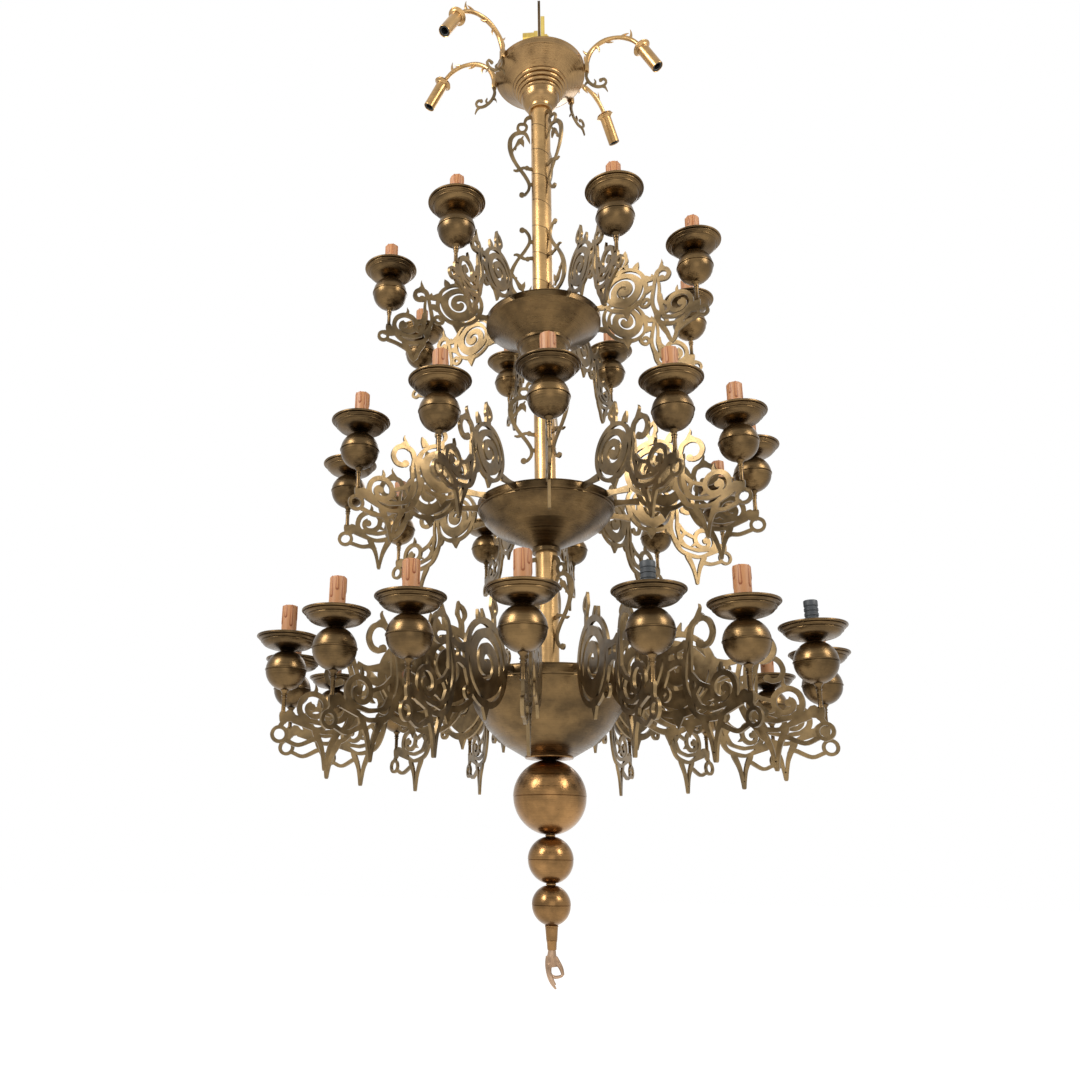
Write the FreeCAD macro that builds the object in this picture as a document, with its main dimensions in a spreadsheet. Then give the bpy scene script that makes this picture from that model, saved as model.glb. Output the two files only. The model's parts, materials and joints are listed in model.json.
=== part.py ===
"""A brass polycandelon: three tiers of candle lamps on pierced arms, in millimetres.

The origin is the centre of the eye that it hangs by, +Z is up, and -Y is the front.
Every height is written as a drop: how far below the eye a thing lies.
Every angle is read from the front, and is positive to the right.
"""
import FreeCAD, Part
import Sketcher

import math
import os

os.makedirs("parts", exist_ok=True)
doc = FreeCAD.newDocument("polycandelon")
sheet = doc.addObject("Spreadsheet::Sheet", "Sizes")

# Driving dimensions of the centre, from the eye down to the finial
CENTRE_SIZES = {
    "plate_thickness": 5,
    "seat_gap": 0.3,
    "thread_clearance": 0.3,
    "eye_radius": 7,
    "hanger_thickness": 6,
    "hanger_top_radius": 15,
    "hanger_foot_radius": 17,
    "hanger_bolt_drop": 92,
    "hanger_bolt_radius": 6,
    "hanger_running_gap": 0.05,
    "hanger_side_gap": 0.5,
    "lug_thickness": 9,
    "lug_half_width": 17,
    "tall_lug_drop": 33,
    "bolt_head_radius": 14,
    "bolt_head_length": 26,
    "bolt_nut_radius": 9,
    "bolt_nut_length": 6,
    "bolt_tail_length": 3,
    "canopy_drop": 190,
    "canopy_radius": 102,
    "canopy_plate_thickness": 4,
    "canopy_band": 12,
    "canopy_shoulder_radius": 62,
    "canopy_shoulder_height": 26,
    "canopy_ring_step": 5,
    "canopy_ring_height": 8,
    "canopy_ring_radius": 6.4,
    "canopy_bell_radius": 38,
    "canopy_neck_radius": 24,
    "canopy_collar_radius": 27,
    "canopy_collar_height": 7,
    "canopy_bottom_drop": 305,
    "shell_wall": 2.5,
    "tie_rod_radius": 5,
    "tie_nut_radius": 9,
    "tie_nut_height": 8,
    "tube_radius": 21.5,
    "tube_wall": 1.5,
    "cover_thickness": 2,
    "dish_bead": 3,
    "dish_1_radius": 119,
    "dish_1_drop": 843,
    "dish_1_band": 12,
    "dish_1_step_radius": 60,
    "dish_1_step_drop": 893,
    "dish_1_neck_radius": 27,
    "dish_1_bottom_drop": 972,
    "dish_2_radius": 134,
    "dish_2_drop": 1254,
    "dish_2_band": 12,
    "dish_2_edge_radius": 96,
    "dish_2_edge_drop": 1310,
    "dish_2_swell_radius": 62,
    "dish_2_neck_radius": 28,
    "dish_2_neck_height": 10,
    "dish_2_bottom_drop": 1355,
    "dish_3_radius": 152.5,
    "dish_3_drop": 1600,
    "dish_3_band": 16,
    "dish_3_swell_radius": 165,
    "dish_3_seat_radius": 46,
    "dish_3_bottom_drop": 1742,
    "disc_radius": 44,
    "disc_thickness": 6,
    "finial_neck_radius": 11,
    "finial_collar_height": 4,
    "finial_ball_1_radius": 65.7,
    "finial_ball_2_radius": 40.3,
    "finial_ball_3_radius": 34,
    "cuff_top_radius": 11.5,
    "cuff_foot_radius": 8,
    "cuff_height": 40,
    "cuff_foot_height": 14,
    "cuff_step": 1.5,
    "wrist_radius": 7,
    "hand_length": 55,
    "hand_width": 26,
    "hand_thickness": 16,
    "hand_ring_radius": 8,
}

# Driving dimensions of the scroll ornament beside the stem
SCROLL_SIZES = {
    "scroll_thickness": 4,
    "scroll_stroke": 7,
    "scroll_reach": 80,
    "top_scroll_height": 228,
    "low_scroll_height": 192,
    "scroll_angle_a": -80,
    "scroll_angle_b": 40,
    "scroll_angle_c": 160,
    "scroll_drop": 5,
}

# Driving dimensions of the four downlights on the canopy's edge
SPOT_SIZES = {
    "spot_angle_a": -50,
    "spot_angle_b": -99,
    "spot_angle_c": 82,
    "spot_angle_d": 137,
    "spot_arm_radius": 5.5,
    "spot_rise_radius": 62,
    "spot_fall_radius": 66,
    "spot_dip": 62,
    "spot_foot_depth": 10,
    "spot_foot_width": 12,
    "spot_foot_height": 22,
    "spot_collar_radius": 20,
    "spot_collar_height": 14,
    "spot_sleeve_radius": 13,
    "spot_sleeve_length": 64,
    "spot_sleeve_wall": 1.5,
    "spot_holder_sink": 1.5,
    "spot_tail_reach": 40,
}

# Driving dimensions of one lamp, with heights from the centre of its ball
LAMP_SIZES = {
    "ball_radius": 34.5,
    "ball_foot_radius": 7.5,
    "ball_neck_radius": 11.5,
    "nut_radius": 7.5,
    "nut_height": 8,
    "rod_radius": 4.5,
    "rod_foot": 72,
    "pan_radius": 53.5,
    "pan_height": 27,
    "pan_lip": 4,
    "pan_knee_radius": 36,
    "pan_knee_height": 8,
    "pan_step_radius": 46,
    "pan_step_height": 16,
    "pan_floor_radius": 20,
    "pan_floor_rise": 13,
    "sleeve_radius": 13,
    "sleeve_wall": 1.2,
    "sleeve_height": 68,
    "holder_radius": 11,
    "holder_height": 54,
    "socket_radius": 7.5,
    "socket_depth": 24,
}

# Each tier's ring of lamps: radius and drop of the balls, and the arms' angles as set by hand
TIER_SIZES = {
    "lamp_ring_1": 323,
    "lamp_ring_2": 392,
    "lamp_ring_3": 484,
    "lamp_drop_1": 817,
    "lamp_drop_2": 1222,
    "lamp_drop_3": 1619,
}
ARM_ANGLES = {
    1: (-165, -120, -75, -29, 24, 66, 104, 151),
    2: (-159, -124, -88, -58, -26, 1, 32, 59, 82, 112, 141, 171),
    3: (-158, -136, -113, -90, -67, -42, -24, -4, 17, 36, 60, 86, 114, 136, 158, 180),
}

# The pierced arm plates, seen from the side: distances inwards from the lamp's rod,
# and heights from the centre of the lamp's ball
FRET_SIZES = {
    1: {
        "panel_in": 145, "panel_level": -8, "panel_radius": 50, "scroll_in": 92,
        "scroll_bottom": 112, "curl_in": 66, "curl_level": 3, "curl_radius": 19,
        "snail_in": 34, "snail_level": -68, "pendant_in": 52, "pendant_tip": 150,
        "loop_out": 10, "loop_level": -98, "loop_radius": 12, "bud_in": 146,
        "bud_top": 82, "nub_in": 118, "spike_in": 141, "spike_tip": 74, "foot_level": -32,
    },
    2: {
        "panel_in": 164, "panel_level": -8, "panel_radius": 55, "scroll_in": 123,
        "scroll_bottom": 108, "curl_in": 79, "curl_level": 14, "curl_radius": 18,
        "snail_in": 44, "snail_level": -68, "pendant_in": 66, "pendant_tip": 163,
        "loop_out": 2, "loop_level": -100, "loop_radius": 15, "bud_in": 162,
        "bud_top": 87, "nub_in": 127, "spike_in": 164, "spike_tip": 76, "foot_level": -38,
    },
    3: {
        "panel_in": 235, "panel_level": 4, "panel_radius": 75, "scroll_in": 133,
        "scroll_bottom": 105, "curl_in": 80, "curl_level": 38, "curl_radius": 20,
        "snail_in": 50, "snail_level": -60, "pendant_in": 75, "pendant_tip": 165,
        "loop_out": 4, "loop_level": -108, "loop_radius": 15, "bud_in": 262,
        "bud_top": 125, "nub_in": 209, "spike_in": 233, "spike_tip": 90, "foot_level": 11,
    },
}
FRET_STROKES = {
    "scroll_band": 22,
    "curl_band": 8,
    "snail_band": 9,
    "riser_width": 13,
    "fret_slot": 7,
    "snail_radius": 28,
    "foot_height": 14,
    "hoop_radius": 14,
    "hoop_band": 6,
    "hoop_overlap": 3.5,
    "pendant_point": 4,
    "spike_width": 30,
    "nub_radius": 6.5,
    "bud_radius": 13,
}

# The hand's outline in shares of its width and length: across, down, and an arc's radius
HAND_OUTLINE = (
    (-0.38, 0.2, 1.2), (-0.12, 0.95), (0.3, 1.15), (0.12, 0.97), (0.32, 0.85), (0.6, 0.76), (0.85, 0.72),
    (0.62, 0.28),
)
HAND_RING_PLACE = (0.25, 0.56)
CANOPY_RINGS = 4


class Length:
    """A size that keeps both its number and the formula that the document binds to."""

    def __init__(self, formula, value):
        self.formula = formula
        self.value = float(value)

    @staticmethod
    def of(thing):
        return thing if isinstance(thing, Length) else Length(repr(thing), thing)

    def join(self, sign, other, value):
        return Length("(%s %s %s)" % (self.formula, sign, Length.of(other).formula), value)

    def __add__(self, other):
        return self.join("+", other, self.value + Length.of(other).value)

    def __sub__(self, other):
        return self.join("-", other, self.value - Length.of(other).value)

    def __mul__(self, other):
        return self.join("*", other, self.value * Length.of(other).value)

    def __truediv__(self, other):
        return self.join("/", other, self.value / Length.of(other).value)

    def __neg__(self):
        return Length("(0 - %s)" % self.formula, -self.value)

    def __radd__(self, other):
        return Length.of(other) + self

    def __rsub__(self, other):
        return Length.of(other) - self


def half_chord(radius, offset):
    """How far a circle reaches beside its centre line, at this offset from its centre."""
    formula = "sqrt(%s * %s - %s * %s)" % (radius.formula, radius.formula, offset.formula, offset.formula)
    return Length(formula, math.sqrt(radius.value ** 2 - offset.value ** 2))


def write_sizes(sizes):
    """Put each named size in its own cell of the sheet."""
    for name, value in sizes.items():
        row = write_sizes.row = write_sizes.row + 1
        sheet.set("A%d" % row, name)
        sheet.set("B%d" % row, str(value))
        sheet.setAlias("B%d" % row, name)


write_sizes.row = 0
for group in (CENTRE_SIZES, SCROLL_SIZES, SPOT_SIZES, LAMP_SIZES, TIER_SIZES, FRET_STROKES):
    write_sizes(group)
for tier, angles in ARM_ANGLES.items():
    write_sizes({"arm_%d_angle_%d" % (tier, place + 1): angle for place, angle in enumerate(angles)})
    write_sizes({"%s_%d" % (name, tier): value for name, value in FRET_SIZES[tier].items()})
doc.recompute()


def size(name):
    """The named size, read back from the sheet."""
    return Length("Sizes." + name, sheet.get(name))


def origin_plane(body, role):
    """One of the body's own three origin planes."""
    return [plane for plane in body.Origin.OriginFeatures if plane.Role == role][0]


def arc_middle(start, end, radius):
    """A point halfway along the arc; a positive radius bulges to the left of start to end."""
    chord = end - start
    half = chord.Length / 2
    bulge = abs(radius) - math.sqrt(max(radius ** 2 - half ** 2, 0.0))
    side = FreeCAD.Vector(-chord.y, chord.x, 0).normalize() * math.copysign(bulge, radius)
    return (start + end) / 2 + side


def profile_sketch(body, role, corners):
    """A closed sketch through the corners. A corner is (across, up) or (across, up, radius):
    with a radius, an arc leads to the next corner."""
    sketch = body.newObject("Sketcher::SketchObject", body.Name + "_sketch")
    sketch.AttachmentSupport = (origin_plane(body, role), "")
    sketch.MapMode = "FlatFace"
    places = [FreeCAD.Vector(Length.of(c[0]).value, Length.of(c[1]).value, 0) for c in corners]
    for number, corner in enumerate(corners):
        start, end = places[number], places[(number + 1) % len(places)]
        if len(corner) == 2:
            sketch.addGeometry(Part.LineSegment(start, end), False)
        else:
            middle = arc_middle(start, end, Length.of(corner[2]).value)
            sketch.addGeometry(Part.Arc(start, middle, end), False)
    # A clockwise arc is stored the other way round, so its first point is its end
    first = []
    for number, corner in enumerate(corners):
        on_start = sketch.getPoint(number, 1).distanceToPoint(places[number]) < 1e-4
        first.append((1, 2) if on_start else (2, 1))
    for number, corner in enumerate(corners):
        after = (number + 1) % len(corners)
        sketch.addConstraint(Sketcher.Constraint("Coincident", number, first[number][1], after, first[after][0]))
        for kind, coordinate in (("DistanceX", corner[0]), ("DistanceY", corner[1])):
            coordinate = Length.of(coordinate)
            index = sketch.addConstraint(
                Sketcher.Constraint(kind, -1, 1, number, first[number][0], coordinate.value))
            sketch.setExpression("Constraints[%d]" % index, coordinate.formula)
        if len(corner) == 3:
            radius = Length.of(corner[2])
            if radius.value < 0:
                radius = -radius
            bound = Sketcher.Constraint("Radius", number, radius.value)
            if abs(places[number].distanceToPoint(places[after]) - 2 * radius.value) < 1e-6:
                # A half circle already has its size from its ends, so its centre is set level with them
                radius = Length.of(corner[1])
                bound = Sketcher.Constraint("DistanceY", -1, 1, number, 3, radius.value)
            index = sketch.addConstraint(bound)
            sketch.setExpression("Constraints[%d]" % index, radius.formula)
    return sketch


def turned(name, corners):
    """A piece turned on a lathe about its own upright axis."""
    body = doc.addObject("PartDesign::Body", name)
    body.Label = name
    sketch = profile_sketch(body, "XZ_Plane", corners)
    turning = body.newObject("PartDesign::Revolution", name + "_turning")
    turning.Profile = sketch
    turning.ReferenceAxis = (sketch, ["V_Axis"])
    turning.Angle = 360
    body.Tip = turning
    return body


def sawn(name, role, corners, thickness):
    """A flat piece sawn from plate, with its middle on the body's own plane."""
    body = doc.addObject("PartDesign::Body", name)
    body.Label = name
    sketch = profile_sketch(body, role, corners)
    pad = body.newObject("PartDesign::Pad", name + "_pad")
    pad.Profile = sketch
    pad.Midplane = True
    pad.Length = thickness.value
    pad.setExpression("Length", thickness.formula)
    body.Tip = pad
    return body


def place(thing, across=0, level=0, tilt=None):
    """Set a piece at a distance from the stem's axis and a height, tipped outwards if asked."""
    across, level = Length.of(across), Length.of(level)
    tilt = Length.of(0 if tilt is None else tilt)
    thing.setExpression(
        "Placement",
        "placement(vector(%s; 0; %s); rotation(vector(0; 1; 0); %s))"
        % (across.formula, level.formula, tilt.formula))
    return thing


def around(name, pieces, angles):
    """A node of copies of the pieces, one set at each angle round the stem."""
    copies = []
    for number, angle in enumerate(angles):
        copy = doc.addObject("Part::Compound", "%s_at_%d" % (name, number + 1))
        copy.Links = pieces
        copy.setExpression(
            "Placement",
            "placement(vector(0; 0; 0); rotation(vector(0; 0; 1); %s - 90))" % angle.formula)
        copies.append(copy)
    node = doc.addObject("Part::Compound", name)
    node.Label = name
    node.Links = copies
    return node


def bored(body, role, across, up, radius):
    """Drill a round hole right through a flat piece, square to its face."""
    sketch = body.newObject("Sketcher::SketchObject", body.Name + "_hole_sketch")
    sketch.AttachmentSupport = (origin_plane(body, role), "")
    sketch.MapMode = "FlatFace"
    across, up = Length.of(across), Length.of(up)
    centre = FreeCAD.Vector(across.value, up.value, 0)
    sketch.addGeometry(Part.Circle(centre, FreeCAD.Vector(0, 0, 1), radius.value), False)
    for constraint, length in (
            (Sketcher.Constraint("DistanceX", -1, 1, 0, 3, across.value), across),
            (Sketcher.Constraint("DistanceY", -1, 1, 0, 3, up.value), up),
            (Sketcher.Constraint("Radius", 0, radius.value), radius)):
        index = sketch.addConstraint(constraint)
        sketch.setExpression("Constraints[%d]" % index, length.formula)
    hole = body.newObject("PartDesign::Pocket", body.Name + "_hole")
    hole.Profile = sketch
    hole.Type = 1
    hole.Midplane = True
    body.Tip = hole
    return body


def tube(name, radius, bore, bottom, top):
    """A plain tube on the stem's axis, between two heights."""
    return turned(name, [(bore, bottom), (radius, bottom), (radius, top), (bore, top)])


# Flat pieces sawn out of plate: shapes are laid out on the XZ plane, then given a thickness
def point(across, up):
    return FreeCAD.Vector(across, 0, up)


def dot(across, up, radius):
    """A round face."""
    circle = Part.makeCircle(radius, point(across, up), FreeCAD.Vector(0, 1, 0))
    return Part.Face(Part.Wire(circle))


def wedge(*corners):
    """A straight-sided face."""
    places = [point(*corner) for corner in corners]
    return Part.Face(Part.makePolygon(places + places[:1]))


def block(left, right, bottom, top):
    """An upright rectangular face."""
    return wedge((left, bottom), (right, bottom), (right, top), (left, top))


def strip(start, middle, end, width, square=False):
    """A band of even width along the arc through three places, with round or square ends."""
    places = [point(*start), point(*middle), point(*end)]
    centre = Part.Arc(*places).toShape().Curve.Center
    outwards = [(spot - centre).normalize() for spot in places]

    def beside(number, offset):
        return places[number] + outwards[number] * offset

    def cap(number):
        side = outwards[number].cross(FreeCAD.Vector(0, 1, 0))
        away = side if side.dot(places[number] - places[1]) > 0 else side * -1
        first, last = (width / 2, -width / 2) if number == 2 else (-width / 2, width / 2)
        if square:
            return Part.LineSegment(beside(number, first), beside(number, last))
        return Part.Arc(beside(number, first), places[number] + away * (width / 2), beside(number, last))

    half = width / 2
    outer = Part.Arc(beside(0, half), beside(1, half), beside(2, half))
    inner = Part.Arc(beside(2, -half), beside(1, -half), beside(0, -half))
    edges = [curve.toShape() for curve in (outer, cap(2), inner, cap(0))]
    return Part.Face(Part.Wire(edges))


def hoop(across, up, radius, band):
    """A round face with a round hole."""
    return dot(across, up, radius).cut(dot(across, up, radius - band)).Faces[0]


def spiral(across, up, offsets, width, over):
    """Half turns through these offsets beside a centre; the first goes over the centre, or under it."""
    turns = []
    for first, last in zip(offsets, offsets[1:]):
        rise = abs(first - last) / 2 * (1 if over else -1)
        middle = (across + (first + last) / 2, up + rise)
        turns.append(strip((across + first, up), middle, (across + last, up), width))
        over = not over
    return turns


def ring_slot(across, up, radius, first, last, width):
    """A slot along part of a circle, with its angles counted from the right, upwards."""
    turns = [math.radians(angle) for angle in (first, (first + last) / 2, last)]
    places = [(across + radius * math.cos(turn), up + radius * math.sin(turn)) for turn in turns]
    return strip(*places, width, square=True)


def arc_slot(start, middle, end, first, last, width):
    """A slot along a stretch of the arc through three places, from one share of it to another."""
    arc = Part.Arc(point(*start), point(*middle), point(*end)).toShape()
    span = arc.LastParameter - arc.FirstParameter
    spots = [arc.valueAt(arc.FirstParameter + share * span) for share in (first, (first + last) / 2, last)]
    return strip(*[(spot.x, spot.z) for spot in spots], width, square=True)


def plate_piece(name, faces, slots, thickness):
    """Give every face the plate's thickness, join them and cut the slots through."""
    through = FreeCAD.Vector(0, thickness, 0)
    half = through / 2
    solids = [face.translated(-half).extrude(through) for face in faces]
    outline = solids[0].fuse(solids[1:])
    if slots:
        outline = outline.cut([face.translated(-through).extrude(through * 2) for face in slots])
    outline = outline.removeSplitter()
    if len(outline.Solids) != 1:
        raise ValueError("%s falls into %d pieces" % (name, len(outline.Solids)))
    piece = doc.addObject("Part::Feature", name)
    piece.Shape = outline.Solids[0]
    return piece


def fret_plate(tier):
    """One pierced arm: a round panel with a foot on the dish and a bud on top, a big open
    scroll with a hook above and a pendant below, a snail inside it, and a riser with a loop."""
    cut = {name: float(sheet.get("%s_%d" % (name, tier))) for name in FRET_SIZES[tier]}
    stroke = {name: float(sheet.get(name)) for name in FRET_STROKES}
    band, slot, riser = stroke["scroll_band"], stroke["fret_slot"], stroke["riser_width"]
    rod_foot = -float(sheet.get("rod_foot"))
    foot_end = (size("dish_%d_radius" % tier) + size("seat_gap") - size("lamp_ring_%d" % tier)).value

    panel_x, panel_z, panel = -cut["panel_in"], cut["panel_level"], cut["panel_radius"]
    curl_x, curl_z, curl = -cut["curl_in"], cut["curl_level"], cut["curl_radius"] - stroke["curl_band"] / 2
    floor = -cut["scroll_bottom"] + band / 2
    scroll_start = (curl_x - curl, curl_z)
    scroll_side = (-cut["scroll_in"] + band / 2, (curl_z + floor) / 2)
    scroll_end = (-cut["snail_in"] - band / 2, floor)
    snail_x, snail_z = -cut["snail_in"], cut["snail_level"]
    snail = stroke["snail_radius"] - stroke["snail_band"] / 2
    link_x = (panel_x + panel - cut["scroll_in"]) / 2
    pendant_x, spike_x = -cut["pendant_in"], -cut["spike_in"]
    panel_under = panel_z - 0.9 * panel
    nub_x = -cut["nub_in"]
    nub_z = panel_z + math.sqrt(panel ** 2 - (nub_x - panel_x) ** 2)
    bud_x, bud = -cut["bud_in"], stroke["bud_radius"]
    bud_z = cut["bud_top"] - 1.8 * bud
    point_half, spike_half = stroke["pendant_point"] / 2, stroke["spike_width"] / 2
    pendant_top = floor - band / 2 - slot / 2
    hoop_away = panel + stroke["hoop_radius"] - stroke["hoop_overlap"]

    faces = [
        dot(panel_x, panel_z, panel),
        block(panel_x + panel - band / 2, scroll_side[0], panel_z - band, panel_z + band),
        block(foot_end, panel_x - panel + band / 2, cut["foot_level"] - stroke["foot_height"] / 2,
              cut["foot_level"] + stroke["foot_height"] / 2),
        strip(scroll_start, scroll_side, scroll_end, band),
        *spiral(curl_x, curl_z, (-curl, curl, -0.3 * curl), stroke["curl_band"], True),
        wedge((curl_x - 0.9 * curl, curl_z + 0.5 * curl), (curl_x + 0.3 * curl, curl_z + curl),
              (curl_x - 0.25 * curl, curl_z + 2.4 * curl)),
        strip(scroll_end, (scroll_end[0] / 2, floor - 1), (0, rod_foot - riser), riser),
        block(-riser / 2, riser / 2, cut["loop_level"], rod_foot),
        *spiral(snail_x, snail_z, (snail, -snail, 0.4 * snail, -0.25 * snail), stroke["snail_band"], False),
        hoop(cut["loop_out"], cut["loop_level"], cut["loop_radius"], cut["loop_radius"] / 2),
        wedge((pendant_x - band, floor), (pendant_x + band, floor),
              (pendant_x + point_half, -cut["pendant_tip"]), (pendant_x - point_half, -cut["pendant_tip"])),
        wedge((spike_x - spike_half, panel_under), (spike_x + spike_half, panel_under),
              (spike_x, -cut["spike_tip"])),
        hoop(panel_x + 0.74 * hoop_away, panel_z - 0.67 * hoop_away, stroke["hoop_radius"], stroke["hoop_band"]),
        dot(nub_x, nub_z, stroke["nub_radius"]),
        block(bud_x - bud / 2, bud_x + bud / 2, panel_z + 0.8 * panel, bud_z),
        dot(bud_x, bud_z, bud),
        wedge((bud_x - 0.8 * bud, bud_z + 0.6 * bud), (bud_x + bud, bud_z), (bud_x + 0.6 * bud, cut["bud_top"])),
    ]
    web_left, web_right = -cut["scroll_in"] + band, snail_x - stroke["snail_radius"]
    web = (web_right - web_left) / 2 + stroke["hoop_overlap"]
    if web > 2 * stroke["hoop_band"]:
        web_x = (web_left + web_right) / 2
        faces.append(hoop(web_x, snail_z + stroke["snail_band"], web, stroke["hoop_band"]))
    slots = [
        ring_slot(panel_x, panel_z, 0.78 * panel, 110, 195, slot),
        ring_slot(panel_x, panel_z, 0.78 * panel, 25, 95, slot),
        ring_slot(panel_x, panel_z, 0.78 * panel, -75, -10, slot),
        *spiral(panel_x, panel_z, (-0.5 * panel, 0.44 * panel, -0.24 * panel, 0.1 * panel), slot, True),
        arc_slot(scroll_start, scroll_side, scroll_end, 0.06, 0.44, slot),
        arc_slot(scroll_start, scroll_side, scroll_end, 0.52, 0.9, slot),
        wedge((pendant_x - slot, pendant_top), (pendant_x + slot, pendant_top),
              (pendant_x, pendant_top - 2.5 * slot)),
        dot(bud_x, bud_z, 0.4 * bud),
    ]
    if -cut["scroll_in"] - panel_x - panel > 3 * slot:
        for way in (1, -1):
            slots.append(wedge((link_x - slot, panel_z + way * slot / 2), (link_x + slot, panel_z + way * slot / 2),
                               (link_x, panel_z + way * 2 * slot)))
    return plate_piece("fret_plate_%d" % tier, faces, slots, float(sheet.get("plate_thickness")))


def scroll_plate(name, height_name, upright):
    """The thin scroll ornament beside the stem, with its root at height 0: it hangs down,
    or stands up. Each stroke starts or ends on the line of another."""
    reach, height = float(sheet.get("scroll_reach")), float(sheet.get(height_name))
    stroke = float(sheet.get("scroll_stroke"))
    stem = (size("tube_radius") + size("seat_gap")).value

    def at(out, along):
        return stem + (reach - stem) * out, height * along * (1 if upright else -1)

    root_low, root_high = sorted((at(0, 0)[1], at(0, 0.1)[1]))
    root, neck, belly, waist, back, foot = (
        at(0.16, 0.05), at(0.30, 0.19), at(0.95, 0.36), at(0.75, 0.58), at(0.12, 0.84), at(0.42, 0.975))
    fork, thorn = at(0.18, 0.26), at(0.42, 0.72)
    faces = [
        block(stem, at(0.22, 0)[0], root_low, root_high),
        strip(root, at(0.42, 0.11), neck, stroke),
        strip(neck, at(0.10, 0.17), at(0.20, 0.125), 0.8 * stroke),
        strip(neck, at(0.75, 0.20), belly, 1.3 * stroke),
        strip(belly, at(0.93, 0.47), waist, 1.2 * stroke),
        strip(neck, fork, at(0.08, 0.34), stroke),
        strip(fork, at(0.42, 0.31), at(0.58, 0.37), 0.7 * stroke),
        dot(*at(0.58, 0.37), 1.1 * stroke),
        strip(waist, thorn, back, stroke),
        strip(thorn, at(0.60, 0.71), at(0.78, 0.66), 0.7 * stroke),
        strip(back, at(0.15, 0.93), foot, stroke),
        dot(*foot, stroke),
        block(stem, back[0], back[1] - stroke / 2, back[1] + stroke / 2),
    ]
    return plate_piece(name, faces, [], float(sheet.get("scroll_thickness")))


def tail_plate(name):
    """The thin curl that trails under a downlight's arm, from the foot of the arm."""
    stroke, reach = float(sheet.get("scroll_stroke")), float(sheet.get("spot_tail_reach"))
    faces = [
        block(-stroke / 2, stroke / 2, -0.4 * reach, 0),
        strip((0, -0.4 * reach), (0.3 * reach, -1.1 * reach), (0.9 * reach, -1.2 * reach), stroke),
        strip((0.9 * reach, -1.2 * reach), (reach, -0.85 * reach), (0.7 * reach, -0.75 * reach), 0.8 * stroke),
        wedge((0.8 * reach, -1.25 * reach), (reach, -1.1 * reach), (1.15 * reach, -1.6 * reach)),
    ]
    return plate_piece(name, faces, [], float(sheet.get("scroll_thickness")))


# Shared sizes
gap = size("seat_gap")
bore = size("tie_rod_radius") + size("thread_clearance")
wall = size("shell_wall")
stem_radius = size("tube_radius")
cover = size("cover_thickness")
nodes = []

# Hanger: a flat plate with the eye, turning on a bolt between two lugs
bolt_level = -size("hanger_bolt_drop")
hanger_plate = sawn("hanger_plate", "YZ_Plane", [
    (size("hanger_top_radius"), 0, -size("hanger_top_radius")),
    (-size("hanger_top_radius"), 0),
    (-size("hanger_foot_radius"), bolt_level, -size("hanger_foot_radius")),
    (size("hanger_foot_radius"), bolt_level),
], size("hanger_thickness"))
bored(hanger_plate, "YZ_Plane", 0, 0, size("eye_radius"))
bored(hanger_plate, "YZ_Plane", 0, bolt_level, size("hanger_bolt_radius") + size("hanger_running_gap"))

canopy_top = -size("canopy_drop")
lug_radius = size("lug_half_width")
lug_offset = (size("hanger_thickness") + size("lug_thickness")) / 2 + size("hanger_side_gap")
lugs = []
for lug_name, lug_centre, offset in (
        ("tall_lug", -size("tall_lug_drop") - lug_radius, lug_offset),
        ("short_lug", bolt_level, -lug_offset)):
    lug = sawn(lug_name, "YZ_Plane", [
        (-lug_radius, canopy_top), (lug_radius, canopy_top),
        (lug_radius, lug_centre, -lug_radius), (-lug_radius, lug_centre)], size("lug_thickness"))
    bored(lug, "YZ_Plane", 0, bolt_level, size("hanger_bolt_radius") + size("hanger_running_gap"))
    lugs.append(place(lug, offset))
hanger_lugs = doc.addObject("Part::Compound", "hanger_lugs")
hanger_lugs.Links = lugs

lug_outside = size("hanger_thickness") / 2 + size("hanger_side_gap") + size("lug_thickness")
bolt_start = -lug_outside - size("bolt_head_length")
bolt_end = lug_outside + size("bolt_nut_length") + size("bolt_tail_length")
hanger_bolt = turned("hanger_bolt", [
    (0, bolt_start), (size("bolt_head_radius"), bolt_start),
    (size("bolt_head_radius"), -lug_outside), (size("hanger_bolt_radius"), -lug_outside),
    (size("hanger_bolt_radius"), bolt_end), (0, bolt_end)])
place(hanger_bolt, 0, bolt_level, 90)
nut_start = lug_outside
hanger_nut = turned("hanger_nut", [
    (size("hanger_bolt_radius") + size("thread_clearance"), nut_start),
    (size("bolt_nut_radius"), nut_start),
    (size("bolt_nut_radius"), nut_start + size("bolt_nut_length")),
    (size("hanger_bolt_radius") + size("thread_clearance"), nut_start + size("bolt_nut_length"))])
place(hanger_nut, 0, bolt_level, 90)
nodes += [hanger_plate, hanger_lugs, hanger_bolt, hanger_nut]

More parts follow.
